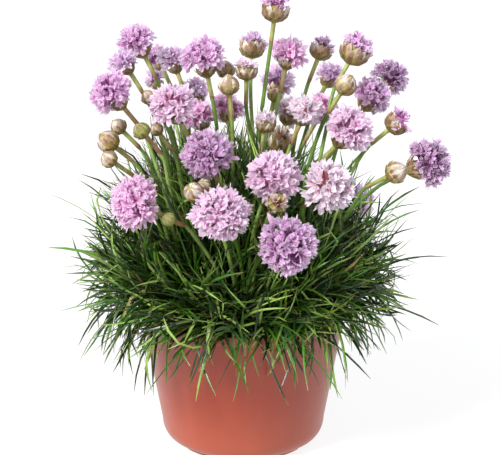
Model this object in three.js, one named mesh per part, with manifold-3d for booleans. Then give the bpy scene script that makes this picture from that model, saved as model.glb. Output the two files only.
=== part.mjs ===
// A potted sea thrift: a plastic nursery pot, its soil, six tufts of grassy leaves and the stalks
// that rise out of them, each with a round flower head or a bud.
// Millimetres, +Z up. The origin is the middle of the pot's underside, +X is to the right of
// somebody in front of the plant and +Y points away from them.

import * as THREE from "three";
import { mergeGeometries, mergeVertices } from "three/addons/utils/BufferGeometryUtils.js";
import Module from "manifold-3d";

const wasm = await Module();
wasm.setup();

// Driving dimensions of the pot
const POT_HEIGHT = 76;
const RIM_RADIUS = 55.4;
const BASE_RADIUS = 42;
const LIP_STEP = 0.8;
const LIP_HEIGHT = 4;
const WALL = 1.2;
const ROUND_HEIGHT = 12;
const ROUND_DEPTH = 5.8;
const ROUND_STEPS = 3;
const FOOT_HEIGHT = 2.5;
const FOOT_OUTER = 36.8;
const FOOT_INNER = 33.4;
const PAD_RADIUS = 14;
const PAD_SLOPE = 0.8;
const FLOOR_TOP = 4.2;
const POT_SIDES = 30;
const DRAINS = 6;
const DRAIN_RADIUS = 3.4;
const DRAIN_PLACE = 24;
const DRAIN_SIDES = 8;
const SLOT_WIDTH = 9;

// The air between two solids that touch
const GAP = 0.3;

// The soil
const SOIL_EDGE = 65.5;
const SOIL_SHOULDER = 68.2;
const SOIL_SHOULDER_RADIUS = 34;
const SOIL_TOP = 69;

// The rootstocks: a ring that carries the leaves round a plug that carries the stalks. One stands
// in the middle and the others round it.
const CROWNS = ["middle", "front", "right", "back_right", "back_left", "left"];
const CROWN_PLACE = 31;
const CROWN_TURN = -90;
const CROWN_REACH = 28;
const HOLE_RADIUS = 14.3;
const HOLE_DEPTH = 9;
const RING_INNER = 7.6;
const RING_OUTER = 14;
const PLUG_RADIUS = 7.3;
const CROWN_TOP = 71.2;
const CROWN_SIDES = 12;
const PLUG_SIDES = 10;

// The stalks
const STALK_RADIUS = 1.15;
const SHEATH_RADIUS = 1.5;
const SHEATH_LENGTH = 12;
const CUP_NECK = 1.35;
const STALK_FOOT = 5.4;
const STALK_FAR = 50;
const STALK_RISE = 0.4;
const STALK_LEAN = 0.1;
const STALK_BEND = 0.32;
const STALK_STEPS = [0, 0.34, 0.7];
const STALK_TRIES = 90;
const STALK_SPIRAL = 2.2;
const STALK_BOW = 5;
const STALK_RISE_BOW = 0.6;
const STALK_SEED = 12;
const HEAD_CLEAR = 0.6;
const STALK_CLEAR = 0.15;

// The flower heads lean away from this point on the pot's axis
const FAN_HEIGHT = 105;

// Each kind of head, as shares of its radius: where the flowers end below, and the bract cup
const KINDS = {
  bloom: { floor: 0.5, cup: [[0.86, 0.12], [0.5, 0.42]], sides: 5 },
  half: { floor: 0.12, cup: [[0.92, 0.16], [0.7, 0.66], [0.12, 0.84]], sides: 6 },
  bud: { cup: [[0.95, 0.2], [0.35, 0.95], [-0.3, 0.9], [-0.85, 0.35]], sides: 6 },
};

// The heads: kind, the middle's x, y and z, and the width across
const HEADS = [
  ["half", 17, 12, 232, 17],
  ["bloom", -55, 18, 213, 21],
  ["bloom", -61, 1, 205, 16],
  ["bloom", -66, -15, 192, 23],
  ["bloom", -46, 48, 199, 16],
  ["bloom", -37, 25, 202, 17],
  ["bloom", -20, 7, 206, 23],
  ["bloom", -49, 62, 185, 14],
  ["bloom", -35, -18, 186, 23],
  ["bloom", -23, 14, 174, 18],
  ["bloom", -27, 62, 178, 17],
  ["half", 5, 40, 208, 16],
  ["bloom", 24, 20, 206, 19],
  ["half", 42, 34, 207, 14],
  ["half", 59, 14, 210, 19],
  ["bloom", 48, 57, 188, 17],
  ["bloom", 80, 44, 189, 21],
  ["bloom", 68, 18, 184, 21],
  ["half", 81, 6, 173, 15],
  ["bloom", 95, -6, 154, 26],
  ["bloom", 54, -12, 172, 25],
  ["bloom", 32, -4, 180, 17],
  ["bloom", 42, 17, 177, 18],
  ["bloom", 19, 66, 183, 20],
  ["half", 12, -8, 176, 12],
  ["bloom", 25, 37, 172, 18],
  ["half", 20, 8, 163, 16],
  ["bloom", -9, 58, 169, 19],
  ["bloom", -17, -34, 164, 27],
  ["bloom", -53, -48, 144, 26],
  ["bloom", -10, -66, 142, 27],
  ["bloom", 15, -46, 156, 26],
  ["half", 17, -64, 148, 12],
  ["bloom", 42, -53, 153, 25],
  ["bloom", 21, -80, 132, 28],
  ["half", 2, 6, 201, 13],
  ["bloom", -52, 70, 122, 24],
  ["bloom", -14, 84, 120, 26],
  ["bloom", 26, 86, 118, 25],
  ["bloom", 62, 66, 114, 24],
  ["bud", -48, -8, 189, 8],
  ["bud", -9, 21, 198, 10],
  ["bud", -7, -7, 195, 11],
  ["bud", 53, -1, 194, 12],
  ["bud", 17, 28, 183, 8],
  ["bud", 78, -22, 153, 12],
  ["bud", -24, -54, 151, 10],
  ["bud", -19, -45, 152, 7],
  ["bud", -68, -22, 169, 12],
  ["bud", -65, 4, 171, 9],
  ["bud", -67, -31, 162, 9],
  ["bud", -51, -24, 175, 9],
  ["bud", -44, -12, 173, 7],
  ["bud", -36, -57, 138, 7],
  ["bud", -36, 76, 134, 11],
  ["bud", 44, 78, 130, 12],
];

// The flowers: a petal's tip, a flower's throat and the gap between flowers, as shares of the
// head's radius. A throat lies within the near angle of a flower's middle, and a gap past the far
// one, in degrees. Heads under the small width have no gaps.
const PETAL_TIP = 1;
const PETAL_UNEVEN = 0.07;
const THROAT = 0.78;
const PETAL_GAP = 0.72;
const SMALL_WIDTH = 18.5;
const THROAT_WITHIN = 8;
const GAP_BEYOND = 28;
const HEAD_SEED = 5;

// The leaves, in millimetres and degrees, and the air that each keeps to the pot, to the heads and
// stalks, to another tuft and to its own. Up to the free length it always stands over the soil.
const LEAVES = 110;
const LEAF_WIDTH = 1.8;
const LEAF_THICK = 0.95;
const LEAF_SHORT = 82;
const LEAF_LONG = 116;
const LEAF_UNEVEN = 22;
const LEAF_UPRIGHT = 5;
const LEAF_SPREAD = 43;
const LEAF_MIXED = 0.3;
const LEAF_STIFF = 12;
const LEAF_DROOP = 180;
const LEAF_ARCH = 1.4;
const LEAF_SWAY = 16;
const LEAF_OUTWARD = 0.2;
const LEAF_INNER = 0.3;
const LEAF_RANK = 0.65;
const LEAF_ROOT = [8.8, 12.1];
const LEAF_MIDDLE = 0.6;
const LEAF_TAPER = [1, 1, 0.95, 0.7];
const LEAF_TRIES = 60;
const LEAF_STRAY = 2.4;
const LEAF_INWARD = 0.4;
const TUFT_TURN = 0.4;
const POT_CLEAR = 0.4;
const FIXED_CLEAR = 0.45;
const TUFT_CLEAR = 0.35;
const OWN_CLEAR = 0.05;
const ROOT_FREE = 5;
const FLAT_LEAF = 0.6;
const LEAF_SEED = 23;

const UP = new THREE.Vector3(0, 0, 1);
const GOLDEN = Math.PI * (3 - Math.sqrt(5));

// Random numbers that come out alike each time
function seeded(seed) {
  let state = seed >>> 0;
  return () => {
    state = (state + 0x6d2b79f5) >>> 0;
    let t = Math.imul(state ^ (state >>> 15), 1 | state);
    t = (t + Math.imul(t ^ (t >>> 7), 61 | t)) ^ t;
    return ((t ^ (t >>> 14)) >>> 0) / 4294967296;
  };
}

// A closed geometry as a solid, with its shared corners merged and its slivers at a pole left out
function solidOf(geometry) {
  const bare = geometry.clone();
  bare.deleteAttribute("normal");
  bare.deleteAttribute("uv");
  const merged = mergeVertices(bare, 1e-4);
  const corners = merged.index.array;
  const kept = [];
  for (let i = 0; i < corners.length; i += 3) {
    const [a, b, c] = corners.slice(i, i + 3);
    if (a !== b && b !== c && c !== a) kept.push(a, b, c);
  }
  return new wasm.Manifold(
    new wasm.Mesh({
      numProp: 3,
      vertProperties: new Float32Array(merged.attributes.position.array),
      triVerts: new Uint32Array(kept),
    }),
  );
}

function geometryOf(solid) {
  const mesh = solid.getMesh();
  const geometry = new THREE.BufferGeometry();
  geometry.setAttribute("position", new THREE.BufferAttribute(mesh.vertProperties, 3));
  geometry.setIndex(new THREE.BufferAttribute(mesh.triVerts, 1));
  geometry.computeVertexNormals();
  return geometry;
}

// A skin over rings of points, each seen turning left from the ring after it. The last ring is
// closed with a flat cap, or is a single point.
function loft(rings) {
  const sides = rings[0].length;
  const faces = [];
  for (let i = 1; i < rings.length; i++) {
    const start = (i - 1) * sides;
    const next = start + sides;
    for (let k = 0; k < sides; k++) {
      const after = (k + 1) % sides;
      if (rings[i].length === 1) {
        faces.push(start + k, start + after, next);
      } else {
        faces.push(start + k, start + after, next + after);
        faces.push(start + k, next + after, next + k);
      }
    }
  }
  const last = (rings.length - 1) * sides;
  for (let k = 1; k < rings.at(-1).length - 1; k++) faces.push(last, last + k, last + k + 1);
  const geometry = new THREE.BufferGeometry().setFromPoints(rings.flat());
  geometry.setIndex(faces);
  return geometry;
}

// A level face with holes, seen from above, or from below where it faces down
function plate(outline, holes, height, down) {
  const flat = (ring) => ring.map(({ x, y }) => new THREE.Vector2(x, y));
  const points = [outline, ...holes].flat().map(({ x, y }) => new THREE.Vector3(x, y, height));
  const faces = THREE.ShapeUtils.triangulateShape(flat(outline), holes.map(flat));
  const [a, b, c] = faces[0].map((i) => points[i]);
  const facesDown = b.clone().sub(a).cross(c.clone().sub(a)).z < 0;
  const geometry = new THREE.BufferGeometry().setFromPoints(points);
  geometry.setIndex(faces.flatMap((face) => (facesDown === down ? face : face.reverse())));
  return geometry;
}

// An upright wall on a level ring of points, with no top or bottom
function wall(ring, low, high) {
  const rings = [low, high].map((height) => ring.map((p) => p.clone().setZ(height)));
  const geometry = loft(rings);
  geometry.setIndex([...geometry.index.array].slice(0, 6 * ring.length));
  return geometry;
}

// A rootstock between two heights with shoots that grow out of its top face. Each shoot is a
// list of rings, and its first ring lies in that face.
function grown(outline, hole, low, high, shoots) {
  const holes = hole.length ? [hole] : [];
  const roots = shoots.map((rings) => rings[0]);
  const pieces = [
    wall(outline, low, high),
    plate(outline, holes, low, true),
    plate(outline, [...holes, ...roots], high, false),
    ...holes.map((ring) => wall([...ring].reverse(), low, high)),
    ...shoots.map(loft),
  ];
  return geometryOf(solidOf(mergeGeometries(pieces)));
}

// A ring slid along a slanting shoot into the level face that the shoot grows from
function rootRing(ring, along, height) {
  return ring.map((point) => {
    const slid = point.clone().addScaledVector(along, (height - point.z) / along.z);
    return slid.setZ(height);
  });
}

// A profile of [radius, height] pairs turned round the Z axis
function turned(profile, sides) {
  const points = profile.map(([radius, height]) => new THREE.Vector2(radius, height));
  return new THREE.LatheGeometry(points, sides).rotateX(Math.PI / 2);
}

function upright(radius, low, high, sides) {
  const geometry = new THREE.CylinderGeometry(radius, radius, high - low, sides);
  return geometry.rotateX(Math.PI / 2).translate(0, 0, (low + high) / 2);
}

// The pot's outer radius at a height, above its rounded lower edge
function wallRadius(height) {
  return BASE_RADIUS + ((RIM_RADIUS - BASE_RADIUS) * height) / POT_HEIGHT;
}

// The rounded lower edge of a shell that lies inside the pot's outer face by inset
function roundedEdge(inset, low) {
  const reach = wallRadius(ROUND_HEIGHT) - inset;
  const points = [];
  for (let i = ROUND_STEPS; i >= 0; i--) {
    const turn = (i / ROUND_STEPS) * (Math.PI / 2);
    const radius = reach - ROUND_DEPTH * (1 - Math.cos(turn));
    points.push([radius, ROUND_HEIGHT - (ROUND_HEIGHT - low) * Math.sin(turn)]);
  }
  return points;
}

function potGeometry() {
  const lipLow = POT_HEIGHT - LIP_HEIGHT;
  const lip = RIM_RADIUS + LIP_STEP;
  const profile = [
    [0, 0],
    [PAD_RADIUS, 0],
    [PAD_RADIUS + PAD_SLOPE, FOOT_HEIGHT],
    [FOOT_INNER, FOOT_HEIGHT],
    [FOOT_INNER, 0],
    [FOOT_OUTER, 0],
    [FOOT_OUTER, FOOT_HEIGHT],
    ...roundedEdge(0, FOOT_HEIGHT),
    [wallRadius(lipLow - LIP_STEP), lipLow - LIP_STEP],
    [lip, lipLow],
    [lip, POT_HEIGHT],
    [RIM_RADIUS - WALL, POT_HEIGHT],
    ...roundedEdge(WALL, FLOOR_TOP).reverse(),
    [0, FLOOR_TOP],
  ];
  let pot = solidOf(turned(profile, POT_SIDES));
  for (let i = 0; i < DRAINS; i++) {
    const turn = ((i + 0.5) / DRAINS) * 2 * Math.PI;
    const hole = upright(DRAIN_RADIUS, -GAP, FLOOR_TOP + GAP, DRAIN_SIDES);
    hole.translate(DRAIN_PLACE * Math.cos(turn), DRAIN_PLACE * Math.sin(turn), 0);
    const length = FOOT_OUTER - FOOT_INNER + 4 * GAP;
    const slot = new THREE.BoxGeometry(length, SLOT_WIDTH, 2 * FOOT_HEIGHT);
    slot.translate((FOOT_OUTER + FOOT_INNER) / 2, 0, 0).rotateZ(turn);
    pot = pot.subtract(solidOf(hole)).subtract(solidOf(slot));
  }
  return geometryOf(pot);
}

function crownPlace(k) {
  if (k === 0) return new THREE.Vector3();
  const turn = THREE.MathUtils.degToRad(CROWN_TURN + (360 / (CROWNS.length - 1)) * (k - 1));
  return new THREE.Vector3(CROWN_PLACE * Math.cos(turn), CROWN_PLACE * Math.sin(turn), 0);
}

// The rootstock that a head's stalk grows from: the middle one, or the one that lies its way
function crownOf(x, y) {
  if (Math.hypot(x, y) < CROWN_REACH) return 0;
  const around = CROWNS.length - 1;
  const turn = Math.atan2(y, x) - THREE.MathUtils.degToRad(CROWN_TURN);
  return 1 + ((Math.round((turn / (2 * Math.PI)) * around) + around) % around);
}

function soilGeometry() {
  const edge = wallRadius(SOIL_EDGE) - WALL - GAP;
  const profile = [
    [0, FLOOR_TOP + GAP],
    ...roundedEdge(WALL + GAP, FLOOR_TOP + GAP).filter((_, i) => i % 2 === 0),
    [edge, SOIL_EDGE],
    [SOIL_SHOULDER_RADIUS, SOIL_SHOULDER],
    [0, SOIL_TOP],
  ];
  let soil = solidOf(turned(profile, POT_SIDES));
  for (let k = 0; k < CROWNS.length; k++) {
    const place = crownPlace(k);
    const hole = upright(HOLE_RADIUS, CROWN_TOP - HOLE_DEPTH - GAP, CROWN_TOP, CROWN_SIDES);
    soil = soil.subtract(solidOf(hole.translate(place.x, place.y, 0)));
  }
  return geometryOf(soil);
}

// One head's measures: the way it faces, its radius, and where its stalk ends
function headOf([kind, x, y, z, width]) {
  const middle = new THREE.Vector3(x, y, z);
  const axis = middle.clone().sub(new THREE.Vector3(0, 0, FAN_HEIGHT)).normalize();
  const radius = width / 2;
  const [[depth]] = KINDS[kind].cup;
  const end = middle.clone().addScaledVector(axis, -depth * radius);
  return { kind, middle, axis, radius, end, crown: crownOf(x, y) };
}

// The least distance between the lines a0 to a1 and b0 to b1
function lineDistance(a0, a1, b0, b1) {
  const d1 = a1.clone().sub(a0);
  const d2 = b1.clone().sub(b0);
  const r = a0.clone().sub(b0);
  const a = d1.dot(d1) + 1e-12;
  const e = d2.dot(d2) + 1e-12;
  const f = d2.dot(r);
  const c = d1.dot(r);
  const b = d1.dot(d2);
  const denominator = a * e - b * b;
  let s = denominator > 1e-9 * a * e ? (b * f - c * e) / denominator : 0;
  s = Math.min(1, Math.max(0, s));
  let t = (b * s + f) / e;
  if (t < 0) {
    t = 0;
    s = Math.min(1, Math.max(0, -c / a));
  } else if (t > 1) {
    t = 1;
    s = Math.min(1, Math.max(0, (b - c) / a));
  }
  return r.addScaledVector(d1, s).addScaledVector(d2, -t).length();
}

// The room left between a line and what it has to clear, stopping once it is below enough
function roomAround(points, radius, obstacles, enough) {
  let room = Infinity;
  for (let i = 1; i < points.length; i++) {
    for (const other of obstacles) {
      const reach = radius + other.radius;
      const apart = points[i].distanceTo(other.from) - other.length - reach;
      if (apart - points[i].distanceTo(points[i - 1]) > enough) continue;
      room = Math.min(room, lineDistance(points[i - 1], points[i], other.from, other.to) - reach);
      if (room < enough) return room;
    }
  }
  return room;
}

function obstacle(from, to, radius, owner) {
  return { from, to, radius, owner, length: from.distanceTo(to) };
}

// The stalks' feet are spread over the plug. The stalk that leans furthest chooses first.
function takeFeet(heads) {
  CROWNS.forEach((_, k) => {
    const crown = crownPlace(k).setZ(CROWN_TOP);
    const own = heads.filter((head) => head.crown === k);
    const lean = (head) => Math.hypot(head.end.x - crown.x, head.end.y - crown.y);
    own.sort((a, b) => lean(b) - lean(a));
    const free = own.map((_, i) => {
      const reach = STALK_FOOT * Math.sqrt((i + 0.5) / own.length);
      const turn = i * GOLDEN;
      return new THREE.Vector3(reach * Math.cos(turn), reach * Math.sin(turn), 0).add(crown);
    });
    for (const head of own) {
      const way = head.end.clone().sub(crown).setZ(0);
      way.setLength(STALK_FOOT * Math.min(1, way.length() / STALK_FAR)).add(crown);
      free.sort((a, b) => a.distanceTo(way) - b.distanceTo(way));
      head.foot = free.shift();
    }
  });
}

// A stalk's middle line, from its rootstock to the foot of its cup, bowed sideways by bow
function stalkCurve(head, bow) {
  const { foot } = head;
  const way = head.end.clone().sub(foot).setZ(0);
  const span = foot.distanceTo(head.end);
  const rise = foot.clone().addScaledVector(UP, STALK_RISE * span);
  rise.addScaledVector(way, STALK_LEAN).addScaledVector(bow, STALK_RISE_BOW);
  const bend = head.end.clone().addScaledVector(head.axis, -STALK_BEND * span).add(bow);
  return new THREE.CubicBezierCurve3(foot, rise, bend, head.end);
}

function stalkPoints(head, bow) {
  const curve = stalkCurve(head, bow);
  const points = STALK_STEPS.map((step) => curve.getPoint(step));
  const sheath = head.end.clone().addScaledVector(head.axis, -SHEATH_LENGTH);
  return [...points, sheath, head.end.clone()];
}

// Each stalk takes the first bow, on a widening spiral, that clears the heads and other stalks
function layStalks(heads) {
  const random = seeded(STALK_SEED);
  const laid = [];
  takeFeet(heads);
  for (const head of heads) {
    const others = heads
      .filter((other) => other !== head)
      .map((other) => obstacle(other.middle, other.middle, other.radius, "head"));
    const bowTurn = random() * 2 * Math.PI;
    const bowSize = random() * STALK_BOW;
    let best = null;
    for (let i = 0; i < STALK_TRIES; i++) {
      const turn = bowTurn + i * GOLDEN;
      const size = (i === 0 ? bowSize : 0) + STALK_SPIRAL * Math.sqrt(i);
      const bow = new THREE.Vector3(size * Math.cos(turn), size * Math.sin(turn), 0);
      const points = stalkPoints(head, bow);
      const headRoom = roomAround(points, SHEATH_RADIUS, others, HEAD_CLEAR) - HEAD_CLEAR;
      const stalkRoom = roomAround(points, STALK_RADIUS, laid, STALK_CLEAR) - STALK_CLEAR;
      const room = Math.min(headRoom, stalkRoom);
      if (!best || room > best.room) best = { points, room };
      if (room >= 0) break;
    }
    head.stalk = best.points;
    for (let i = 1; i < best.points.length; i++) {
      laid.push(obstacle(best.points[i - 1], best.points[i], STALK_RADIUS, head.crown));
    }
  }
}

// A ring of points round a centre, square to the way along
function ringRound(centre, along, radius, sides, spin) {
  const across = new THREE.Vector3(1, 0, 0).cross(along).normalize();
  const over = along.clone().cross(across);
  return Array.from({ length: sides }, (_, k) => {
    const turn = ((k + spin) / sides) * 2 * Math.PI;
    const point = centre.clone().addScaledVector(across, radius * Math.cos(turn));
    return point.addScaledVector(over, radius * Math.sin(turn));
  });
}

// The rings of a bract cup or a bud, each turned by half a side against the one below
function cupRings(head) {
  const { cup, sides } = KINDS[head.kind];
  const clear = head.kind === "bud" ? 0 : GAP;
  return cup.map(([below, wide], i) => {
    const centre = head.middle.clone().addScaledVector(head.axis, -below * head.radius - clear);
    const radius = Math.max(wide * head.radius, CUP_NECK);
    return ringRound(centre, head.axis, radius, sides, -i / 2);
  });
}

// A stalk's rings from the plug's top face up to its cup or its bud
function stalkRings(head) {
  const { sides } = KINDS[head.kind];
  const rings = head.stalk.slice(0, -1).map((point, i) => {
    const along = head.stalk[i + 1].clone().sub(head.stalk[Math.max(0, i - 1)]).normalize();
    const radius = i < STALK_STEPS.length ? STALK_RADIUS : SHEATH_RADIUS;
    const ring = ringRound(point, along, radius, sides, 0);
    return i === 0 ? rootRing(ring, along, CROWN_TOP) : ring;
  });
  return [...rings, ...cupRings(head)];
}

function levelRing(place, radius, sides) {
  return ringRound(place, UP, radius, sides, 0);
}

function stalksGeometry(heads, k) {
  const plug = levelRing(crownPlace(k), PLUG_RADIUS, PLUG_SIDES);
  const shoots = heads.filter((one) => one.crown === k).map(stalkRings);
  return grown(plug, [], CROWN_TOP - HOLE_DEPTH, CROWN_TOP, shoots);
}

// A ball of flowers round the local Z axis: twelve throats, each in a star of five petal tips
function bloomGeometry(head, random) {
  const { floor } = KINDS[head.kind];
  const small = head.kind === "half" || 2 * head.radius < SMALL_WIDTH;
  const ball = new THREE.IcosahedronGeometry(1, small ? 1 : 2);
  ball.deleteAttribute("normal");
  ball.deleteAttribute("uv");
  const geometry = mergeVertices(ball, 1e-4);
  const corners = mergeVertices(plainIcosahedron(), 1e-4).attributes.position;
  const turns = Array.from({ length: 3 }, () => random() * 2 * Math.PI);
  const spin = new THREE.Matrix4().makeRotationFromEuler(new THREE.Euler(...turns));
  const place = geometry.attributes.position;
  for (let i = 0; i < place.count; i++) {
    const way = new THREE.Vector3().fromBufferAttribute(place, i).normalize();
    let nearest = Math.PI;
    for (let j = 0; j < corners.count; j++) {
      const corner = new THREE.Vector3().fromBufferAttribute(corners, j);
      nearest = Math.min(nearest, way.angleTo(corner));
    }
    const degrees = THREE.MathUtils.radToDeg(nearest);
    let share = PETAL_TIP - PETAL_UNEVEN * random();
    if (degrees < THROAT_WITHIN) share = THROAT;
    else if (!small && degrees > GAP_BEYOND) share = PETAL_GAP;
    way.applyMatrix4(spin);
    if (way.z < 0) share = Math.min(share, floor / -way.z);
    way.multiplyScalar(share * head.radius);
    place.setXYZ(i, way.x, way.y, way.z);
  }
  geometry.computeVertexNormals();
  return geometry;
}

function plainIcosahedron() {
  const geometry = new THREE.IcosahedronGeometry(1, 0);
  geometry.deleteAttribute("normal");
  geometry.deleteAttribute("uv");
  return geometry;
}

// Whether a point, with the given room round it, is clear of the pot and the soil
function clearOfPot(point, room) {
  const radius = Math.hypot(point.x, point.y);
  const lip = RIM_RADIUS + LIP_STEP;
  if (point.z > POT_HEIGHT + room) return true;
  if (radius > lip + room) return true;
  if (radius < RIM_RADIUS - WALL - room) return point.z > SOIL_TOP + room;
  return point.z < POT_HEIGHT - LIP_HEIGHT - room && radius > wallRadius(point.z) + room;
}

// A leaf's middle line. Rank 0 stands in the middle of the tuft, and rank 1 hangs outside it.
function leafPoints(k, rank, turn, draw) {
  const crown = crownPlace(k);
  const out = crown.clone().normalize();
  const stand = k === 0 ? LEAF_MIDDLE : 1;
  const way = new THREE.Vector3(Math.cos(turn), Math.sin(turn), 0);
  const root = LEAF_ROOT[0] + (LEAF_ROOT[1] - LEAF_ROOT[0]) * rank;
  const flop = stand * rank * (1 - (LEAF_INNER * (1 - way.dot(out))) / 2);
  const point = crown.clone().addScaledVector(way, root).setZ(CROWN_TOP);
  way.addScaledVector(out, LEAF_OUTWARD * rank).normalize();
  const heading = Math.atan2(way.y, way.x);
  const steps = rank < FLAT_LEAF ? 3 : 4;
  const length = LEAF_LONG + (LEAF_SHORT - LEAF_LONG) * flop - LEAF_UNEVEN * draw[1];
  const lean = LEAF_UPRIGHT + LEAF_SPREAD * flop * (1 + LEAF_MIXED * (draw[0] - 0.5));
  const bend = LEAF_STIFF + LEAF_DROOP * flop * flop * (0.5 + draw[2]);
  const sway = LEAF_SWAY * (2 * draw[3] - 1);
  const points = [point.clone()];
  for (let i = 0; i < steps; i++) {
    const along = (i + 0.5) / steps;
    const tilt = THREE.MathUtils.degToRad(lean + bend * Math.pow(along, LEAF_ARCH));
    const swung = heading + THREE.MathUtils.degToRad(sway) * along;
    const step = length / steps;
    point.x += step * Math.sin(tilt) * Math.cos(swung);
    point.y += step * Math.sin(tilt) * Math.sin(swung);
    point.z += step * Math.cos(tilt);
    points.push(point.clone());
  }
  return points;
}

// Points along a leaf at steps of about two millimetres, past its root
function finely(points) {
  const fine = [];
  for (let i = 1; i < points.length; i++) {
    const span = points[i].distanceTo(points[i - 1]);
    const count = Math.ceil(span / 2);
    for (let j = 0; j < count; j++) {
      const point = points[i - 1].clone().lerp(points[i], (j + 1) / count);
      if (i > 1 || point.distanceTo(points[0]) > ROOT_FREE) fine.push(point);
    }
  }
  return fine;
}

// Leaves are drawn until each is clear of the pot, the heads, the stalks and the other tufts
function layLeaves(heads) {
  const random = seeded(LEAF_SEED);
  const half = LEAF_WIDTH / 2;
  const fixed = heads.map((head) => obstacle(head.middle, head.middle, head.radius, "head"));
  for (const { stalk, crown } of heads) {
    for (let i = 1; i < stalk.length; i++) {
      const radius = i < STALK_STEPS.length ? STALK_RADIUS : SHEATH_RADIUS;
      fixed.push(obstacle(stalk[i - 1], stalk[i], radius, crown));
    }
  }
  const laid = [];
  const tufts = CROWNS.map(() => []);
  for (let i = 0; i < LEAVES; i++) {
    for (let k = 0; k < CROWNS.length; k++) {
      const others = laid.filter((other) => other.owner !== k);
      const own = laid.filter((other) => other.owner === k);
      for (let tries = 0; tries < LEAF_TRIES; tries++) {
        const draw = Array.from({ length: 6 }, random);
        const order = (i + 0.5) / LEAVES;
        const stray = tries / LEAF_TRIES;
        const rank = Math.pow(order, LEAF_RANK) * (1 - LEAF_INWARD * draw[4] * stray);
        const turn = (i + TUFT_TURN * k) * GOLDEN + LEAF_STRAY * stray * (draw[5] - 0.5);
        const points = leafPoints(k, rank, turn, draw);
        if (!finely(points).every((point) => clearOfPot(point, half + POT_CLEAR))) continue;
        if (roomAround(points, half, fixed, FIXED_CLEAR) < FIXED_CLEAR) continue;
        if (roomAround(points, half, others, TUFT_CLEAR) < TUFT_CLEAR) continue;
        if (roomAround(points, half, own, OWN_CLEAR) < OWN_CLEAR) continue;
        tufts[k].push(points);
        for (let j = 1; j < points.length; j++) {
          laid.push(obstacle(points[j - 1], points[j], half, k));
        }
        break;
      }
    }
  }
  return tufts;
}

// A narrow blade with a keel below, which ends in a point
function leafRings(points) {
  const rings = points.slice(0, -1).map((point, i) => {
    const before = points[Math.max(0, i - 1)];
    const along = points[i + 1].clone().sub(before).normalize();
    const across = along.clone().cross(UP).normalize();
    const over = across.clone().cross(along);
    const wide = (LEAF_WIDTH / 2) * LEAF_TAPER[i];
    const thick = LEAF_THICK * LEAF_TAPER[i];
    const ring = [
      point.clone().addScaledVector(over, (-2 * thick) / 3),
      point.clone().addScaledVector(across, -wide).addScaledVector(over, thick / 3),
      point.clone().addScaledVector(across, wide).addScaledVector(over, thick / 3),
    ];
    return i === 0 ? rootRing(ring, along, CROWN_TOP) : ring;
  });
  return [...rings, [points.at(-1)]];
}

function tuftGeometry(leaves, k) {
  const outer = levelRing(crownPlace(k), RING_OUTER, CROWN_SIDES);
  const inner = levelRing(crownPlace(k), RING_INNER, CROWN_SIDES);
  return grown(outer, inner, CROWN_TOP - HOLE_DEPTH, CROWN_TOP, leaves.map(leafRings));
}

function named(name, geometry, colour, roughness) {
  const material = new THREE.MeshStandardMaterial({ color: colour, roughness, metalness: 0 });
  const mesh = new THREE.Mesh(geometry, material);
  mesh.name = name;
  return mesh;
}

function makePlant() {
  const plant = new THREE.Group();
  plant.add(named("pot", potGeometry(), 0xb4604c, 0.55));
  plant.add(named("soil", soilGeometry(), 0x3a2a20, 0.95));
  const heads = HEADS.map(headOf);
  layStalks(heads);
  const tufts = layLeaves(heads);
  CROWNS.forEach((name, k) => {
    plant.add(named("leaves_" + name, tuftGeometry(tufts[k], k), 0x3f6b24, 0.6));
    plant.add(named("stalks_" + name, stalksGeometry(heads, k), 0x86a04a, 0.6));
  });
  const random = seeded(HEAD_SEED);
  heads.forEach((head, i) => {
    if (head.kind === "bud") return;
    const colour = new THREE.Color().setHSL(0.83 - 0.02 * random(), 0.42, 0.62 + 0.14 * random());
    const number = String(i + 1).padStart(2, "0");
    const mesh = named(head.kind + "_" + number, bloomGeometry(head, random), colour, 0.7);
    mesh.position.copy(head.middle);
    mesh.quaternion.setFromUnitVectors(UP, head.axis);
    plant.add(mesh);
  });
  return plant;
}

export default makePlant();
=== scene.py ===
import math

import bpy
import numpy as np
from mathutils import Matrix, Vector, noise


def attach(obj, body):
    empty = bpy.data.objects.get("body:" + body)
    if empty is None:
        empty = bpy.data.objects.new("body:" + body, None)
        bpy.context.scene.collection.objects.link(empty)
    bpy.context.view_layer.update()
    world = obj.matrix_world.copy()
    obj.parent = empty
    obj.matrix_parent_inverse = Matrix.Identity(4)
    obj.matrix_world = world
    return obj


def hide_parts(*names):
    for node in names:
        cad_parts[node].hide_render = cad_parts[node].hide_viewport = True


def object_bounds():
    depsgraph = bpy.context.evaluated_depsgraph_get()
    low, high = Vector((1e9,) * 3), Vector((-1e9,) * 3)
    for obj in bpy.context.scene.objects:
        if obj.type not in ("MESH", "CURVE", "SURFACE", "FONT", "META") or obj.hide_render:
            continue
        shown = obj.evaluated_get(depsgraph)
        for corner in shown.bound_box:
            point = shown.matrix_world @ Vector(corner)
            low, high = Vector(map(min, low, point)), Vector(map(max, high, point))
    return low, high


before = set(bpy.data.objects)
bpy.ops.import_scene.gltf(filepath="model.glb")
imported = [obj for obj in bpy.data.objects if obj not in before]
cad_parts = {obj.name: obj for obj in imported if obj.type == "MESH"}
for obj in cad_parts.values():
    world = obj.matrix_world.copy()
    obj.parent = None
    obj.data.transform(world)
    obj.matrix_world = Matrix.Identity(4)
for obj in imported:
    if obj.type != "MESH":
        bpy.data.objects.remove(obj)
cad_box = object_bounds()

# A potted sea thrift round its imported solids. Sizes are in millimetres, and mesh_object turns
# them into the frame's metres. +X is to the right of the camera, +Y away from it, +Z up.
MM = 0.001
UP = np.array([0.0, 0.0, 1.0])
GOLDEN = math.pi * (3 - math.sqrt(5))
SPIRAL_START = 6

# Edges that turn by more degrees than this look sharp
SHARP = 60
POT_SHARP = 40
LEAF_SHARP = 70
PETAL_SHARP = 75

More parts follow.
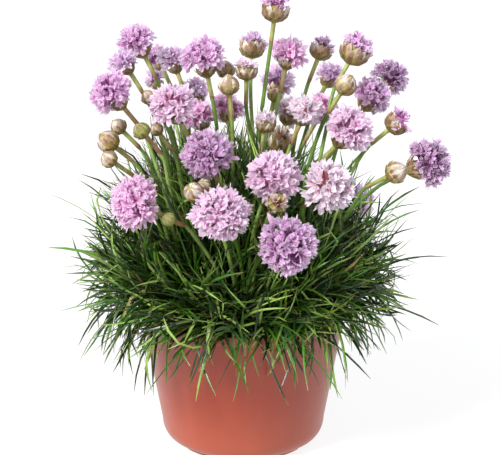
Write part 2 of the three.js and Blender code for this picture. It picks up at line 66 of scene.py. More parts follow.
# The pot
POT_HEIGHT = 76
RIM_RADIUS = 55.4
BASE_RADIUS = 42
LIP_STEP = 0.8
LIP_HEIGHT = 4
WALL = 1.2
ROUND_HEIGHT = 12
ROUND_DEPTH = 5.8
ROUND_STEPS = 10
FOOT_HEIGHT = 2.5
FOOT_OUTER = 36.8
FOOT_INNER = 33.4
PAD_RADIUS = 14
PAD_SLOPE = 0.8
FLOOR_TOP = 4.2
POT_SIDES = 128
DRAINS = 6
DRAIN_RADIUS = 3.4
DRAIN_PLACE = 24
DRAIN_SIDES = 28
SLOT_WIDTH = 9
CUT_PAST = 1

# The pot's corners that turn by more degrees than this are rounded off, over so many millimetres
# but no more than this share of the faces beside them
CORNER_TURN = 25
CORNER_REACH = 0.4
CORNER_SHARE = 0.4
CORNER_STEPS = (0, 0.33, 0.67, 1)

# The soil: its measures, how rough it is and over how many millimetres that fades at the edge
SOIL_GAP = 0.3
SOIL_EDGE = 65.5
SOIL_SHOULDER = 68.2
SOIL_SHOULDER_RADIUS = 34
SOIL_TOP = 69
SOIL_SIDES = 96
SOIL_RINGS = 26
SOIL_ROUGH = 0.9
SOIL_GRAIN = 0.22
SOIL_NOISE = (0.8, 2.0, 4)
SOIL_FADE = 3
SOIL_SEED = 3

# The crumbs on it: their outline for a radius of one, and how uneven they are
CRUMBS = 420
CRUMB_SIZE = (0.5, 1.7)
CRUMB_OUTLINE = [(0, -0.7), (0.75, -0.45), (1, 0.1), (0.6, 0.6), (0, 0.75)]
CRUMB_SIDES = 7
CRUMB_STRETCH = (0.7, 1.3)
CRUMB_UNEVEN = 0.25
CRUMB_LIFT = 0.2
CRUMB_MARGIN = 2

# The rootstocks: each is a mound that bristles with the bases of old leaves
CROWNS = ["middle", "front", "right", "back_right", "back_left", "left"]
CROWN_PLACE = 31
CROWN_TURN = -90
CROWN_REACH = 28
CROWN_TOP = 71.2
MOUND = [(0, 64), (12, 64), (13.6, 67), (12.4, 69.6), (9, 71), (5, 71.4), (0, 71.5)]
MOUND_SIDES = 20
MOUND_UNEVEN = 0.35
STUBS = 90
STUB_RING = (5, 13.5)
STUB_LENGTH = (4, 10)
STUB_WIDTH = (1.4, 2.4)
STUB_BURIED = 2.5
STUB_LEAN = 1 / 14
STUB_UNEVEN = 0.25
STUB_TONES = (0.95, 0.05)

# The stalks
STALK_RADIUS = 1.15
SHEATH_RADIUS = 1.5
SHEATH_LENGTH = 12
STALK_FOOT = 5.4
STALK_FAR = 50
STALK_RISE = 0.4
STALK_LEAN = 0.1
STALK_BEND = 0.32
STALK_STEPS = [0, 0.34, 0.7]
STALK_TRIES = 90
STALK_SPIRAL = 2.2
STALK_BOW = 5
STALK_RISE_BOW = 0.6
STALK_SEED = 12
HEAD_CLEAR = 0.6
STALK_CLEAR = 0.15
STALK_SIDES = 10
STALK_RINGS = 20
STALK_BURIED = 3
STALK_TAPER = 0.16
STALK_UNEVEN = 0.03
BUNCH_SEED = 60

# The sheath's rings: how far each lies down the stalk, how wide it is, and where it is along the
# field that the stalk's own foot and end share with it
SHEATH_RINGS = [(1.0, 0.96, 0.87), (0.92, 1.06, 0.9), (0.5, 1.04, 0.96), (0.0, 1.12, 1.0)]
SHEATH_TORN = (0.75, 0.35)
STALK_ALONG = 0.85

# The flower heads lean away from this point on the pot's axis
FAN_HEIGHT = 105

# Each kind of head: how far its flowers reach round from its tip, in degrees, and the outline of
# its bract cup from the stalk up, as shares of its radius below its middle and across
BUD_CUP = [(0.95, 0.2), (0.72, 0.66), (0.3, 0.94), (-0.25, 0.92), (-0.7, 0.56), (-0.97, 0.06)]
KINDS = {
    "bloom": (112, [(0.86, 0.12), (0.66, 0.36), (0.42, 0.52)]),
    "half": (78, [(0.92, 0.16), (0.74, 0.58), (0.4, 0.8), (-0.1, 0.86)]),
    "bud": (0, BUD_CUP),
}

# The heads: kind, the middle's x, y and z, the width across, and the petals' tone
HEADS = [
    ("half", 17, 12, 232, 17, "mauve"),
    ("bloom", -55, 18, 213, 21, "mauve"),
    ("bloom", -61, 1, 205, 16, "lilac"),
    ("bloom", -66, -15, 192, 23, "mauve"),
    ("bloom", -46, 48, 199, 16, "plum"),
    ("bloom", -37, 25, 202, 17, "lilac"),
    ("bloom", -20, 7, 206, 23, "mauve"),
    ("bloom", -49, 62, 185, 14, "lilac"),
    ("bloom", -35, -18, 186, 23, "blush"),
    ("bloom", -23, 14, 174, 18, "rose"),
    ("bloom", -27, 62, 178, 17, "lilac"),
    ("half", 5, 40, 208, 16, "lilac"),
    ("bloom", 24, 20, 206, 19, "rose"),
    ("half", 42, 34, 207, 14, "deep"),
    ("half", 59, 14, 210, 19, "mauve"),
    ("bloom", 48, 57, 188, 17, "lilac"),
    ("bloom", 80, 44, 189, 21, "deep"),
    ("bloom", 68, 18, 184, 21, "plum"),
    ("half", 81, 6, 173, 15, "mauve"),
    ("bloom", 95, -6, 154, 26, "deep"),
    ("bloom", 54, -12, 172, 25, "blush"),
    ("bloom", 32, -4, 180, 17, "pale"),
    ("bloom", 42, 17, 177, 18, "rose"),
    ("bloom", 19, 66, 183, 20, "lilac"),
    ("half", 12, -8, 176, 12, "pale"),
    ("bloom", 25, 37, 172, 18, "pale"),
    ("half", 20, 8, 163, 16, "faded"),
    ("bloom", -9, 58, 169, 19, "rose"),
    ("bloom", -17, -34, 164, 27, "plum"),
    ("bloom", -53, -48, 144, 26, "rose"),
    ("bloom", -10, -66, 142, 27, "blush"),
    ("bloom", 15, -46, 156, 26, "blush"),
    ("half", 17, -64, 148, 12, "faded"),
    ("bloom", 42, -53, 153, 25, "pale"),
    ("bloom", 21, -80, 132, 28, "plum"),
    ("half", 2, 6, 201, 13, "pale"),
    ("bloom", -52, 70, 122, 24, "rose"),
    ("bloom", -14, 84, 120, 26, "mauve"),
    ("bloom", 26, 86, 118, 25, "blush"),
    ("bloom", 62, 66, 114, 24, "lilac"),
    ("bud", -48, -8, 189, 8),
    ("bud", -9, 21, 198, 10),
    ("bud", -7, -7, 195, 11),
    ("bud", 53, -1, 194, 12),
    ("bud", 17, 28, 183, 8),
    ("bud", 78, -22, 153, 12),
    ("bud", -24, -54, 151, 10),
    ("bud", -19, -45, 152, 7),
    ("bud", -68, -22, 169, 12),
    ("bud", -65, 4, 171, 9),
    ("bud", -67, -31, 162, 9),
    ("bud", -51, -24, 175, 9, "green"),
    ("bud", -44, -12, 173, 7),
    ("bud", -36, -57, 138, 7, "green"),
    ("bud", -36, 76, 134, 11),
    ("bud", 44, 78, 130, 12),
]

# The petals of each tone: how wide they are, and their colours, as sRGB at the throat, over the
# petal and at its edge, which is partly the petal's own colour and partly painted highlight
TONES = {
    "rose": (1.12, (228, 132, 194), (251, 184, 236), (255, 229, 251)),
    "mauve": (0.9, (206, 120, 190), (238, 170, 229), (251, 222, 250)),
    "lilac": (0.85, (196, 130, 190), (226, 176, 224), (246, 222, 248)),
    "blush": (1.12, (232, 156, 198), (251, 203, 240), (255, 238, 252)),
    "pale": (1.22, (226, 160, 166), (250, 220, 241), (255, 246, 253)),
    "deep": (0.85, (146, 80, 134), (186, 128, 180), (228, 190, 226)),
    "plum": (0.88, (166, 96, 156), (213, 150, 206), (240, 208, 238)),
    "faded": (0.6, (120, 72, 40), (206, 166, 146), (244, 222, 214)),
}

# The cup under its bracts: its rows, its sides and its width as a share of its outline's
CUP_ROWS = 7
CUP_SIDES = 12
CUP_INNER = 0.93
CUP_CAP = 0.02

# For each kind of head, its rows of bracts from the inner to the outer one: how many, from and to
# which share of the cup's outline, how far they stand off it and their tone
BRACT_ROWS = {
    "bud": [
        (8, 0.4, 1.0, 0.1, 0.92),
        (9, 0.2, 0.86, 0.25, 0.78),
        (9, 0.05, 0.56, 0.4, 0.5),
        (7, 0.0, 0.3, 0.5, 0.1),
    ],
    "half": [
        (12, 0.4, 1.1, 0.2, 0.85),
        (10, 0.2, 0.84, 0.45, 0.5),
        (9, 0.0, 0.55, 0.55, 0.3),
        (7, 0.0, 0.3, 0.55, 0.1),
    ],
    "bloom": [(12, 0.3, 1.1, 0.3, 0.75), (10, 0.0, 0.8, 0.5, 0.45), (8, 0.0, 0.42, 0.55, 0.2)],
}

# A bract: its width from foot to tip, how much wider it is than its room in the row, its keel's
# height and its edges' depth, and how uneven its length, its lift, its place and its tone are
BRACT_WIDTHS = np.array([0.85, 1.0, 0.86, 0.5, 0.04])
BRACT_OVERLAP = 1.35
BRACT_THICK = 0.1
BRACT_KEEL = 0.18
BRACT_EDGE = 0.12
BRACT_FOOT_LIFT = 0.2
BRACT_LENGTHS = (0.86, 0.28)
BRACT_LIFTS = (0.6, 0.8)
BRACT_ASTRAY = 0.3
BRACT_TONES = 0.5

# How far the bracts of a green bud have turned from green to brown and pale, as a share of others
GREEN_BUD = 0.08

# A petal, in millimetres on a full-sized flower: at each step from the throat to the tip, how far
# it stands from the flower's axis, how high over the throat, its half width, and how much it
# ruffles and curls there
PETAL = np.array([
    (0.3, 0.0, 0.4, 0.2, 0),
    (1.0, 2.5, 0.9, 0.5, 0),
    (2.3, 4.2, 1.45, 0.9, 0.4),
    (3.5, 4.9, 1.3, 1.3, 1.2),
])
PETALS = 5
PETAL_THICK = 0.1
PETAL_NOTCH = 0.45
PETAL_OPENED = (0.7, 1.3)
PETAL_WIDE = (0.85, 1.15)
PETAL_LONG = (0.88, 1.1)
PETAL_SKEW = 0.5
PETAL_RUFFLE = 0.34
PETAL_CURL = 0.7
PETAL_CUPPED = 0.2
PETAL_UPRIGHT = (1.12, 0.16)
PETAL_TIP_RISE = 1.3
PETAL_ASTRAY = 0.35
PETAL_TONES = (0.55, 0.25)

# The flowers: the room that each takes, how high it stands, how uneven they are, how deep their
# throats are sunk, and the same for the share of smaller ones between them
FLOWER_AREA = 24
FLOWERS_LEAST = 9
FLOWER_RISE = 5.8
FLOWER_TILT = 0.3
FLOWER_ASTRAY = 0.08
FLOWER_SIZES = (0.88, 0.24)
FLOWER_UNEVEN = 0.05
FLOWER_LUMPS = 3.2
FLOWER_SUNK = 0.9
UNDER_SHARE = 0.4
UNDER_SIZE = 0.85
UNDER_SUNK = 0.5
HEAD_SEED = 100

# A flower is full-sized on a head of this radius, and not under the least share on a small one
FULL_RADIUS = 13
SMALL_FLOWER = 0.72

# How wide open the flowers of each kind of head are, from the least to the most
OPENED = {"bloom": (0.6, 1.05), "half": (0.35, 0.75)}

# Each flower's tube from the core to its throat: shares of the way, and its radius there
TUBE_STEPS = np.array([0.3, 0.8, 1.03])
TUBE_RADII = np.array([0.8, 0.75, 1.0])
TUBE_UNEVEN = (0.8, 1.15)
TUBE_SIDES = 5

# The head's dark core
CORE_SHARE = 0.42
CORE_PAST = 8
CORE_ROWS = 8
CORE_SIDES = 14

# The leaves, and the blade's section across its middle line
LEAF_SEED = 29
LEAF_WIDTH = 1.28
LEAF_WIDTHS = (0.75, 0.4)
LEAF_STEPS = 8
LEAF_BURIED = 2.5
LEAF_SECTION = np.array([(1, 0.24), (0, 0), (-1, 0.24), (0, -0.42)])
LEAF_TAPER = ([0, 0.15, 0.78, 0.94, 1], [0.85, 1, 1, 0.82, 0.2])
LEAF_TWIST = (0.5, 0.8)
SPARE_LEAVES = 12

# The shades of most leaves, and the share and the shades of the pale, lime and dead ones. The pale
# ones are painted highlights: blades coloured as if light glanced off them
LEAF_TONES = (1.55, 0.76)
PALE_LEAVES = (0.16, 0.78, 0.06)
LIME_LEAVES = (0.05, 0.86, 0.08)
DEAD_LEAVES = (0.012, 0.955, 0.045)

# The long leaves, which give each tuft its outline: their lengths, slants and bends
LONG_LEAVES = 46
LEAF_SHORT = 82
LEAF_LONG = 116
LEAF_UNEVEN = 22
LEAF_UPRIGHT = 5
LEAF_SPREAD = 43
LEAF_MIXED = 0.3
LEAF_STIFF = 12
LEAF_DROOP = 180
LEAF_ARCH = 1.4
LEAF_SWAY = 16
LEAF_HANG = 165
LEAF_OUTWARD = 0.2
LEAF_INNER = 0.3
LEAF_RANK = 0.65
LEAF_ROOT = (8.8, 12.1)
LEAF_MIDDLE = 0.6

# The upright leaves between the stalks: how many for each rootstock, and how long leaves wander
TALL_LEAVES = (130, 40, 90, 100, 180, 180)
TALL_WIDTH = 1.0
TALL_RANK = 0.66
TALL_TRIES = 80
TALL_STRAY = 0.34
TALL_HOOK = 0.4

# The rosettes: woody shoots that rise from each rootstock to several heights, each with its leaves
ROSETTES = 17
ROSETTE_RING = (7, 14)
ROSETTE_RISE = 27
ROSETTE_LOWEST = 2
ROSETTE_RISES = 1.3
ROSETTE_BACKWARD = 0.4
ROSETTE_LEAN = 0.55
ROSETTE_OUTWARD = 0.55
ROSETTE_UNEVEN = (0.3, 1.3)
ROSETTE_LEAVES = 31
ROSETTE_SPREAD = (6, 88)
ROSETTE_SPREADS = (0.5, 1.3)
ROSETTE_TALL = (58, 96)
ROSETTE_SHORT = (42, 76)
ROSETTE_RAISED = 0.6
ROSETTE_DROOP = 1.25
ROSETTE_DEPTH = 3
ROSETTE_ACROSS = (0.3, 0.9, 0.1)
ROSETTE_SPARE = 2.4
SHOOT_RADIUS = 1.6
SHOOT_RADII = np.array([1.2, 1.0, 0.95, 0.5])
SHOOT_BURIED = 0.1
SHOOT_UNEVEN = 0.4
SHOOT_SIDES = 6

# How much a leaf bends aside over its length, how much more its tip does, how unlike the leaves
# are in that, and how late along it the bend and the hook set in
LEAF_STRAY = 0.42
LEAF_HOOK = 0.5
LEAF_BENDS = (0.3, 1.8)
BEND_LATE = 1.2
HOOK_LATE = 3

# The arching leaves keep more or less within an egg: its middle, its reach outwards and upwards,
# how much that drops for each millimetre towards the front, and how much of it most leaves and
# the boldest take
BUSH = ((-8, 0, 98), 90, 72, 0.28)
BUSH_UNEVEN = (0.72, 1.2)
BUSH_BOLD = 2.2

# The upright leaves fill a narrower egg, and their tips reach at least so high
THICKET = ((-10, 8, 96), 82, 84, 0)
THICKET_UNEVEN = (0.8, 1.12)
THICKET_TIPS = 128

# Below the hem's height the leaves keep closer to the pot the lower they hang
HEM_HEIGHT = 74
HEM_WIDE = (82, 100)
HEM_SLOPE = 0.4
HEM_LOWEST = (42, 66)

# Leaves that hang over the rim, on each outer tuft: how many, how far round it they stand, how
# high their feet are, their slant there, how hard they droop, how much they stray, their length
SKIRT = 64
SKIRT_ROUND = 1.5
SKIRT_RISE = 12
SKIRT_ASIDE = 0.6
SKIRT_TILT = (40, 80)
SKIRT_DROOP = (1.5, 3.6)
SKIRT_STRAY = 0.5
SKIRT_HOOK = 0.7
SKIRT_LENGTH = (40, 96)

# The air that leaves keep to the pot, to heads and to stalks, and how far they may pass the
# solids' box. So many paths are looked at a time, in so many parts a step, and for the pot from
# this point on, because a leaf's foot stands in it
POT_ROOM = 0.9
HEAD_ROOM = 2.5
STALK_ROOM = 0.15
BOX_PAST = 4
LEAF_PARTS = 4
FIRST_LOOKED_AT = 6
STALK_PARTS = 9
LOOKED_AT = 300

# The heads and the stalks on the viewer's side stay in sight, the stalks above a height and but
# for a share of the leaves that may cross them: less of the upright ones
HEAD_SEEN_BESIDE = 1
STALKS_SEEN_TO = 0
STALKS_SEEN_FROM = 92
STALKS_SEEN = 0.7
STALK_SEEN_BESIDE = 1.2
STALKS_SEEN_BEHIND = 0.35

# Leaves may hide the heads that are this far back and no higher than this
REAR_HEADS = (40, 140)

# Single long leaves that stand out of the bush: where their tips are, and how they bow
STRAY_BEND = 0.4
STRAY_RISE = 0.3
STRAYS = [
    (-104, -8, 139),
    (-100, -22, 113),
    (-97, 12, 92),
    (-82, -34, 152),
    (108, -6, 103),
    (102, -26, 72),
    (93, 6, 138),
    (88, -30, 126),
    (96, 26, 120),
    (72, 30, 158),
    (24, 98, 118),
    (-40, 92, 128),
    (-86, 48, 124),
    (60, -78, 96),
    (-62, -72, 84),
]

# The camera, in millimetres and degrees, and its focal length as a share of the frame's width
AIM = (3.7, 0, 117.4)
DISTANCE = 793
ELEVATION = 16
FOCAL = 3.0
SENSOR = 36

# The way to the camera
RISE = math.radians(ELEVATION)
VIEWER = np.array([0, -math.cos(RISE), math.sin(RISE)])

# The studio: how bright the surroundings are in front of the plant and behind it, and the floor's
# radius in metres, its shades and its glow
WORLD_FRONT = (0.16, 0.16, 0.17, 1)
WORLD_BACK = (0.72, 0.74, 0.78, 1)
WORLD_DEPTHS = (-1.0, 0.2)
FLOOR_RADIUS = 6
FLOOR_SIDES = 96
FLOOR_SHADES = [(0.3, 0.15), (0.7, 0.18)]
FLOOR_GLOW = 0.85

# Each soft lamp: its strength, its colour, the side it stands on, counted from the front towards
# the right, its height and how wide it looks, in degrees
LAMPS = [
    ("key", 4.7, (1, 1, 1), -47, 40, 18),
    ("fill", 1.1, (1, 1, 1), 6, 24, 60),
    ("side", 1.0, (0.48, 0.54, 1), 100, 6, 50),
    ("back", 0.5, (1, 1, 1), 140, 30, 40),
]


# Directions, curves and random numbers

def unit(vectors):
    """The vectors at length one, and none where they have no length."""
    length = np.linalg.norm(vectors, axis=-1, keepdims=True)
    return vectors / np.maximum(length, 1e-12)


def around(turn):
    """The level directions at these angles."""
    return np.stack([np.cos(turn), np.sin(turn), 0 * turn], -1)


def leant(first, second, turn):
    """The directions that lie from the first towards the second by an angle."""
    return first * np.cos(turn)[..., None] + second * np.sin(turn)[..., None]


def arc(start, bend, end, share):
    """Points on the curve from start to end that leans towards bend."""
    return (1 - share) ** 2 * start + 2 * share * (1 - share) * bend + share ** 2 * end


def parted(count):
    """The middle of each of count equal parts of the way from 0 to 1."""
    return (np.arange(count) + 0.5) / count


def some(least_and_range, numbers):
    """Random numbers of 0 to 1 brought to their least value and range."""
    return least_and_range[0] + least_and_range[1] * numbers


def between(ends, share):
    """The value at a share of the way from the first end to the second."""
    return ends[0] + (ends[1] - ends[0]) * share


def any_turns(count, draw):
    return draw.random(count) * 2 * math.pi


def seeded(seed):
    """Random numbers from 0 to 1 that come out alike each time, as in the part's source."""
    state = seed
    mask = 0xFFFFFFFF
    while True:
        state = (state + 0x6D2B79F5) & mask
        mixed_up = ((state ^ (state >> 15)) * (1 | state)) & mask
        mixed_up = ((mixed_up + (((mixed_up ^ (mixed_up >> 7)) * (61 | mixed_up)) & mask)) & mask) ^ mixed_up
        yield (mixed_up ^ (mixed_up >> 14)) / 4294967296


# Meshes

class Soup:
    """Points and faces gathered for one mesh, with the fields that its material reads: tone is
    the piece's own shade, along runs from its root to its tip and side from edge to edge."""

    def __init__(self):
        self.points = []
        self.faces = []
        self.fields = {"tone": [], "along": [], "side": []}
        self.count = 0

    def add(self, points, faces, tone, along, side):
        """Copies of one shape: points is (copies, corners, 3) and faces are lists of corners."""
        copies, corners = points.shape[:2]
        starts = self.count + corners * np.arange(copies)
        for face in faces:
            spread = starts[:, None, None] + face[None]
            self.faces.append(spread.reshape(-1, face.shape[1]))
        self.points.append(points.reshape(-1, 3))
        for name, value in (("tone", tone), ("along", along), ("side", side)):
            value = np.asarray(value, float)
            if value.ndim == 1 and len(value) == copies and copies != corners:
                value = value[:, None]
            self.fields[name].append(np.broadcast_to(value, (copies, corners)).ravel())
        self.count += copies * corners


def put_object(name, data):
    """An object in the scene that shows the data."""
    item = bpy.data.objects.new(name, data)
    bpy.context.scene.collection.objects.link(item)
    return item


def smooth(mesh, sharp):
    """Smooth shading, but for edges that turn by more than sharp degrees."""
    mesh.polygons.foreach_set("use_smooth", np.ones(len(mesh.polygons), bool))
    mesh.set_sharp_from_angle(angle=math.radians(sharp))


def mesh_object(name, soup, material, sharp=SHARP):
    """One object from a soup."""
    points = np.concatenate(soup.points) * MM
    corners = np.concatenate([face.ravel() for face in soup.faces])
    sizes = np.concatenate([np.full(len(face), face.shape[1]) for face in soup.faces])
    mesh = bpy.data.meshes.new(name)
    mesh.vertices.add(len(points))
    mesh.vertices.foreach_set("co", points.ravel())
    mesh.loops.add(len(corners))
    mesh.loops.foreach_set("vertex_index", corners)
    mesh.polygons.add(len(sizes))
    mesh.polygons.foreach_set("loop_start", np.cumsum(sizes) - sizes)
    for field_name, values in soup.fields.items():
        layer = mesh.attributes.new(field_name, "FLOAT", "POINT")
        layer.data.foreach_set("value", np.concatenate(values))
    mesh.update(calc_edges=True)
    mesh.validate()
    smooth(mesh, sharp)
    mesh.materials.append(material)
    return put_object(name, mesh)


def finish_piece(piece, slot, *nodes):
    """Attaches the piece to the root body and hides the nodes it stands for. The slot is not used."""
    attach(piece, "root")
    if nodes:
        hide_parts(*nodes)


def skin_faces(rings, sides):
    """The faces of a closed skin over rings of points, with a flat face at each end."""
    corner = np.arange(sides)
    after = (corner + 1) % sides
    ring = sides * np.arange(rings - 1)[:, None]
    quads = np.stack([ring + corner, ring + after, ring + sides + after, ring + sides + corner], -1)
    ends = [corner[::-1][None], (sides * (rings - 1) + corner)[None]]
    return [quads.reshape(-1, 4), *ends]


def swept(paths, across, section, radii):
    """Closed skins along paths (n, rings, 3): section is (sides, 2) and radii (n, rings)."""
    along = unit(np.gradient(paths, axis=1))
    across = unit(across - along * (across * along).sum(-1, keepdims=True))
    over = np.cross(along, across)
    wide = radii[..., None, None] * section[:, 0, None] * across[..., None, :]
    high = radii[..., None, None] * section[:, 1, None] * over[..., None, :]
    points = paths[..., None, :] + wide + high
    copies, rings, sides = points.shape[:3]
    return points.reshape(copies, rings * sides, 3), skin_faces(rings, sides)


def circle(sides):
    """A round section of radius one."""
    return around(2 * math.pi * np.arange(sides) / sides)[:, :2]


def turned(outline, sides):
    """Points and faces of an outline of (radius, height) turned round the Z axis. It starts and
    ends on the axis."""
    outline = np.array(outline, float)[:, :, None, None]
    turn = 2 * math.pi * np.arange(sides) / sides
    rings = outline[1:-1, 0] * around(turn) + outline[1:-1, 1] * UP
    points = rings.reshape(-1, 3)
    ends = outline[[0, -1], 1, 0] * UP
    corner = np.arange(sides)
    after = (corner + 1) % sides
    last = sides * (len(rings) - 1)
    first_fan = np.stack([np.full(sides, len(points)), after, corner], -1)
    last_fan = np.stack([np.full(sides, len(points) + 1), last + corner, last + after], -1)
    faces = [skin_faces(len(rings), sides)[0], first_fan, last_fan]
    return np.concatenate([points, ends])[None], faces


# A lens is a thin blade on a grid of points: both its faces share the points of its rim. Petals
# and bracts take this many points across
LENS = 5


def lens_faces(rows, columns):
    """The faces of a lens. Its upper points come row by row, then the lower ones inside the rim."""
    upper = np.arange(rows * columns).reshape(rows, columns)
    lower = upper.copy()
    inner = np.arange((rows - 2) * (columns - 2)).reshape(rows - 2, columns - 2)
    lower[1:-1, 1:-1] = rows * columns + inner
    faces = []
    for grid, way in ((upper, 1), (lower, -1)):
        quads = np.stack([grid[:-1, :-1], grid[1:, :-1], grid[1:, 1:], grid[:-1, 1:]], -1)
        faces.append(quads.reshape(-1, 4)[:, ::way])
    return [np.concatenate(faces)]


def add_lenses(soup, grid, thick, tone):
    """Blades from grids (n, rows, columns, 3) of their upper faces, each thick in its middle."""
    count, rows, columns = grid.shape[:3]
    normal = unit(np.cross(np.gradient(grid, axis=1), np.gradient(grid, axis=2)))
    lower = (grid - thick * normal)[:, 1:-1, 1:-1]
    points = np.concatenate([grid.reshape(count, -1, 3), lower.reshape(count, -1, 3)], 1)
    fields = np.meshgrid(np.linspace(0, 1, rows), np.linspace(-1, 1, columns), indexing="ij")
    along, side = [np.concatenate([part.ravel(), part[1:-1, 1:-1].ravel()]) for part in fields]
    soup.add(points, lens_faces(rows, columns), tone, along, side)


# Materials: every field and colour below is worked out on the surface itself

def colour_of(value):
    """The linear colour that a shader takes, for a grey share, for a colour seen on a screen as
    three parts of 0 to 255, or for a linear colour itself."""
    if not isinstance(value, tuple):
        return (value, value, value, 1)
    if len(value) == 4:
        return value
    shares = [part / 255 for part in value]
    linear = [s / 12.92 if s < 0.04045 else ((s + 0.055) / 1.055) ** 2.4 for s in shares]
    return (*linear, 1.0)


def wire(tree, node, inputs):
    """Gives a node's inputs what they take: a value or another node's output."""
    for key, value in inputs.items():
        if isinstance(value, bpy.types.NodeSocket):
            tree.links.new(value, node.inputs[key])
        else:
            node.inputs[key].default_value = value


def put(tree, kind, inputs, **settings):
    """A new node with its settings and inputs."""
    node = tree.nodes.new(kind)
    for name, value in settings.items():
        setattr(node, name, value)
    wire(tree, node, inputs)
    return node


def new_material(name):
    material = bpy.data.materials.new(name)
    material.use_nodes = True
    return material, material.node_tree


def shaded(material, inputs):
    """The material, once its one shader has its inputs."""
    tree = material.node_tree
    wire(tree, tree.nodes["Principled BSDF"], inputs)
    return material


def field(tree, name):
    return put(tree, "ShaderNodeAttribute", {}, attribute_name=name).outputs["Fac"]


def place(tree, kind="Object"):
    return put(tree, "ShaderNodeTexCoord", {}).outputs[kind]


def cloudy(tree, scale, detail=3, stretch=None):
    """Noise over the object, of about scale patches a metre."""
    where = place(tree)
    if stretch:
        where = put(tree, "ShaderNodeMapping", {"Vector": where, "Scale": stretch}).outputs[0]
    inputs = {"Vector": where, "Scale": scale, "Detail": detail}
    return put(tree, "ShaderNodeTexNoise", inputs).outputs["Fac"]


def ramp(tree, value, stops):
    """Colours or shades by value: stops are (place, colour)."""
    node = put(tree, "ShaderNodeValToRGB", {"Fac": value})
    points = node.color_ramp.elements
    while len(points) < len(stops):
        points.new(0.5)
    for point, (at, colour) in zip(points, stops):
        point.position = at
        point.color = colour_of(colour)
    return node.outputs["Color"]


def mixed(tree, share, first, second, blend="MIX"):
    inputs = {0: share, 6: first, 7: second}
    return put(tree, "ShaderNodeMix", inputs, data_type="RGBA", blend_type=blend).outputs[2]


def both(tree, first, second):
    """The product of two colours or masks."""
    return mixed(tree, 1.0, first, second, "MULTIPLY")


def painted(tree, colour, layers):
    """A colour under layers (mask, stops, colour). The mask goes through a ramp with the stops,
    if it has any, and a layer without a colour shades what is under it instead."""
    for mask, stops, over in layers:
        share = ramp(tree, mask, stops) if stops else mask
        colour = mixed(tree, share, colour, colour_of(over)) if over else both(tree, colour, share)
    return colour


def math_node(tree, operation, first, second=0.0):
    return put(tree, "ShaderNodeMath", {0: first, 1: second}, operation=operation).outputs[0]


def waves(tree, count):
    """Fine ribs that run lengthwise."""
    return math_node(tree, "SINE", math_node(tree, "MULTIPLY", field(tree, "side"), count))


def bumpy(tree, height, strength, distance):
    inputs = {"Height": height, "Strength": strength, "Distance": distance}
    return put(tree, "ShaderNodeBump", inputs).outputs["Normal"]


def leaf_fields(tree):
    """A blade's own shade, the way from its root to its tip, and that from its middle aside."""
    side = math_node(tree, "ABSOLUTE", field(tree, "side"))
    return field(tree, "tone"), field(tree, "along"), side


def pot_material():
    """Satin terracotta-coloured plastic, cloudy, with paler streaks and a foot painted paler as if lit from
    the floor below.
    """
    material, tree = new_material("pot_plastic")
    clouds = ramp(tree, cloudy(tree, 22, 4), [(0.35, (130, 42, 16)), (0.7, (141, 49, 23))])
    height = put(tree, "ShaderNodeSeparateXYZ", {0: place(tree)}).outputs["Z"]
    share = math_node(tree, "MULTIPLY", height, 1 / (POT_HEIGHT * MM))
    layers = [
        (cloudy(tree, 90, 5, (1, 1, 0.12)), [(0.45, 0.0), (0.8, 0.22)], (162, 80, 62)),
        # Painted light: the pot grows paler towards its foot, standing in for light from the floor
        (share, [(0.0, 0.8), (0.5, 0.0)], (160, 76, 50)),
    ]
    inputs = {
        "Base Color": painted(tree, clouds, layers),
        "Roughness": ramp(tree, cloudy(tree, 60, 4), [(0.3, 0.36), (0.75, 0.52)]),
        "Specular IOR Level": 0.4,
        "Coat Weight": 0.35,
        "Coat Roughness": 0.3,
        "Normal": bumpy(tree, cloudy(tree, 1400, 3), 0.12, 0.0002),
    }
    return shaded(material, inputs)


def soil_material():
    """Moist dark peat with paler flecks."""
    material, tree = new_material("peat")
    stops = [(0.3, (28, 20, 15)), (0.55, (62, 44, 32)), (0.8, (104, 78, 56))]
    inputs = {
        "Base Color": ramp(tree, cloudy(tree, 420, 6), stops),
        "Roughness": 0.95,
        "Specular IOR Level": 0.2,
        "Normal": bumpy(tree, cloudy(tree, 700, 6), 0.8, 0.0008),
    }
    return shaded(material, inputs)


def leaf_material():
    """Grassy green that varies from leaf to leaf, with painted shade towards the foot, pale edges as a
    painted highlight, and dry tips.
    """
    material, tree = new_material("leaf")
    tone, along, side = leaf_fields(tree)
    stops = [
        (0.0, (10, 30, 1)),
        (0.3, (26, 68, 1)),
        (0.6, (70, 134, 6)),
        # This pale grey-green tone is a painted highlight
        (0.8, (150, 182, 92)),
        (0.9, (150, 182, 70)),
        (0.945, (156, 180, 60)),
        (0.96, (164, 150, 92)),
        (1.0, (112, 84, 50)),
    ]
    layers = [
        (cloudy(tree, 160, 3), [(0.3, 0.62), (0.7, 1.0)], None),
        # Painted highlight: the blades' margins are paler grey-green, as if light caught them
        (side, [(0.72, 0.0), (1.0, 0.3)], (120, 148, 84)),
        (along, [(0.92, 0.0), (1.0, 0.55)], (150, 130, 74)),
        (along, [(0.0, 0.7), (0.12, 0.0)], (104, 96, 60)),
        # Painted shade: each blade darkens towards its foot, down inside the bush
        (along, [(0.05, 0.04), (0.36, 0.2), (0.74, 1.0)], None),
    ]
    inputs = {
        "Base Color": painted(tree, ramp(tree, tone, stops), layers),
        "Roughness": 0.34,
        "Specular IOR Level": ramp(tree, along, [(0.2, 0.04), (0.65, 0.42)]),
        "Coat Weight": ramp(tree, along, [(0.3, 0.0), (0.7, 0.24)]),
        "Coat Roughness": 0.36,
        "Normal": bumpy(tree, cloudy(tree, 1600, 2, (1, 1, 0.15)), 0.25, 0.0002),
    }
    return shaded(material, inputs)


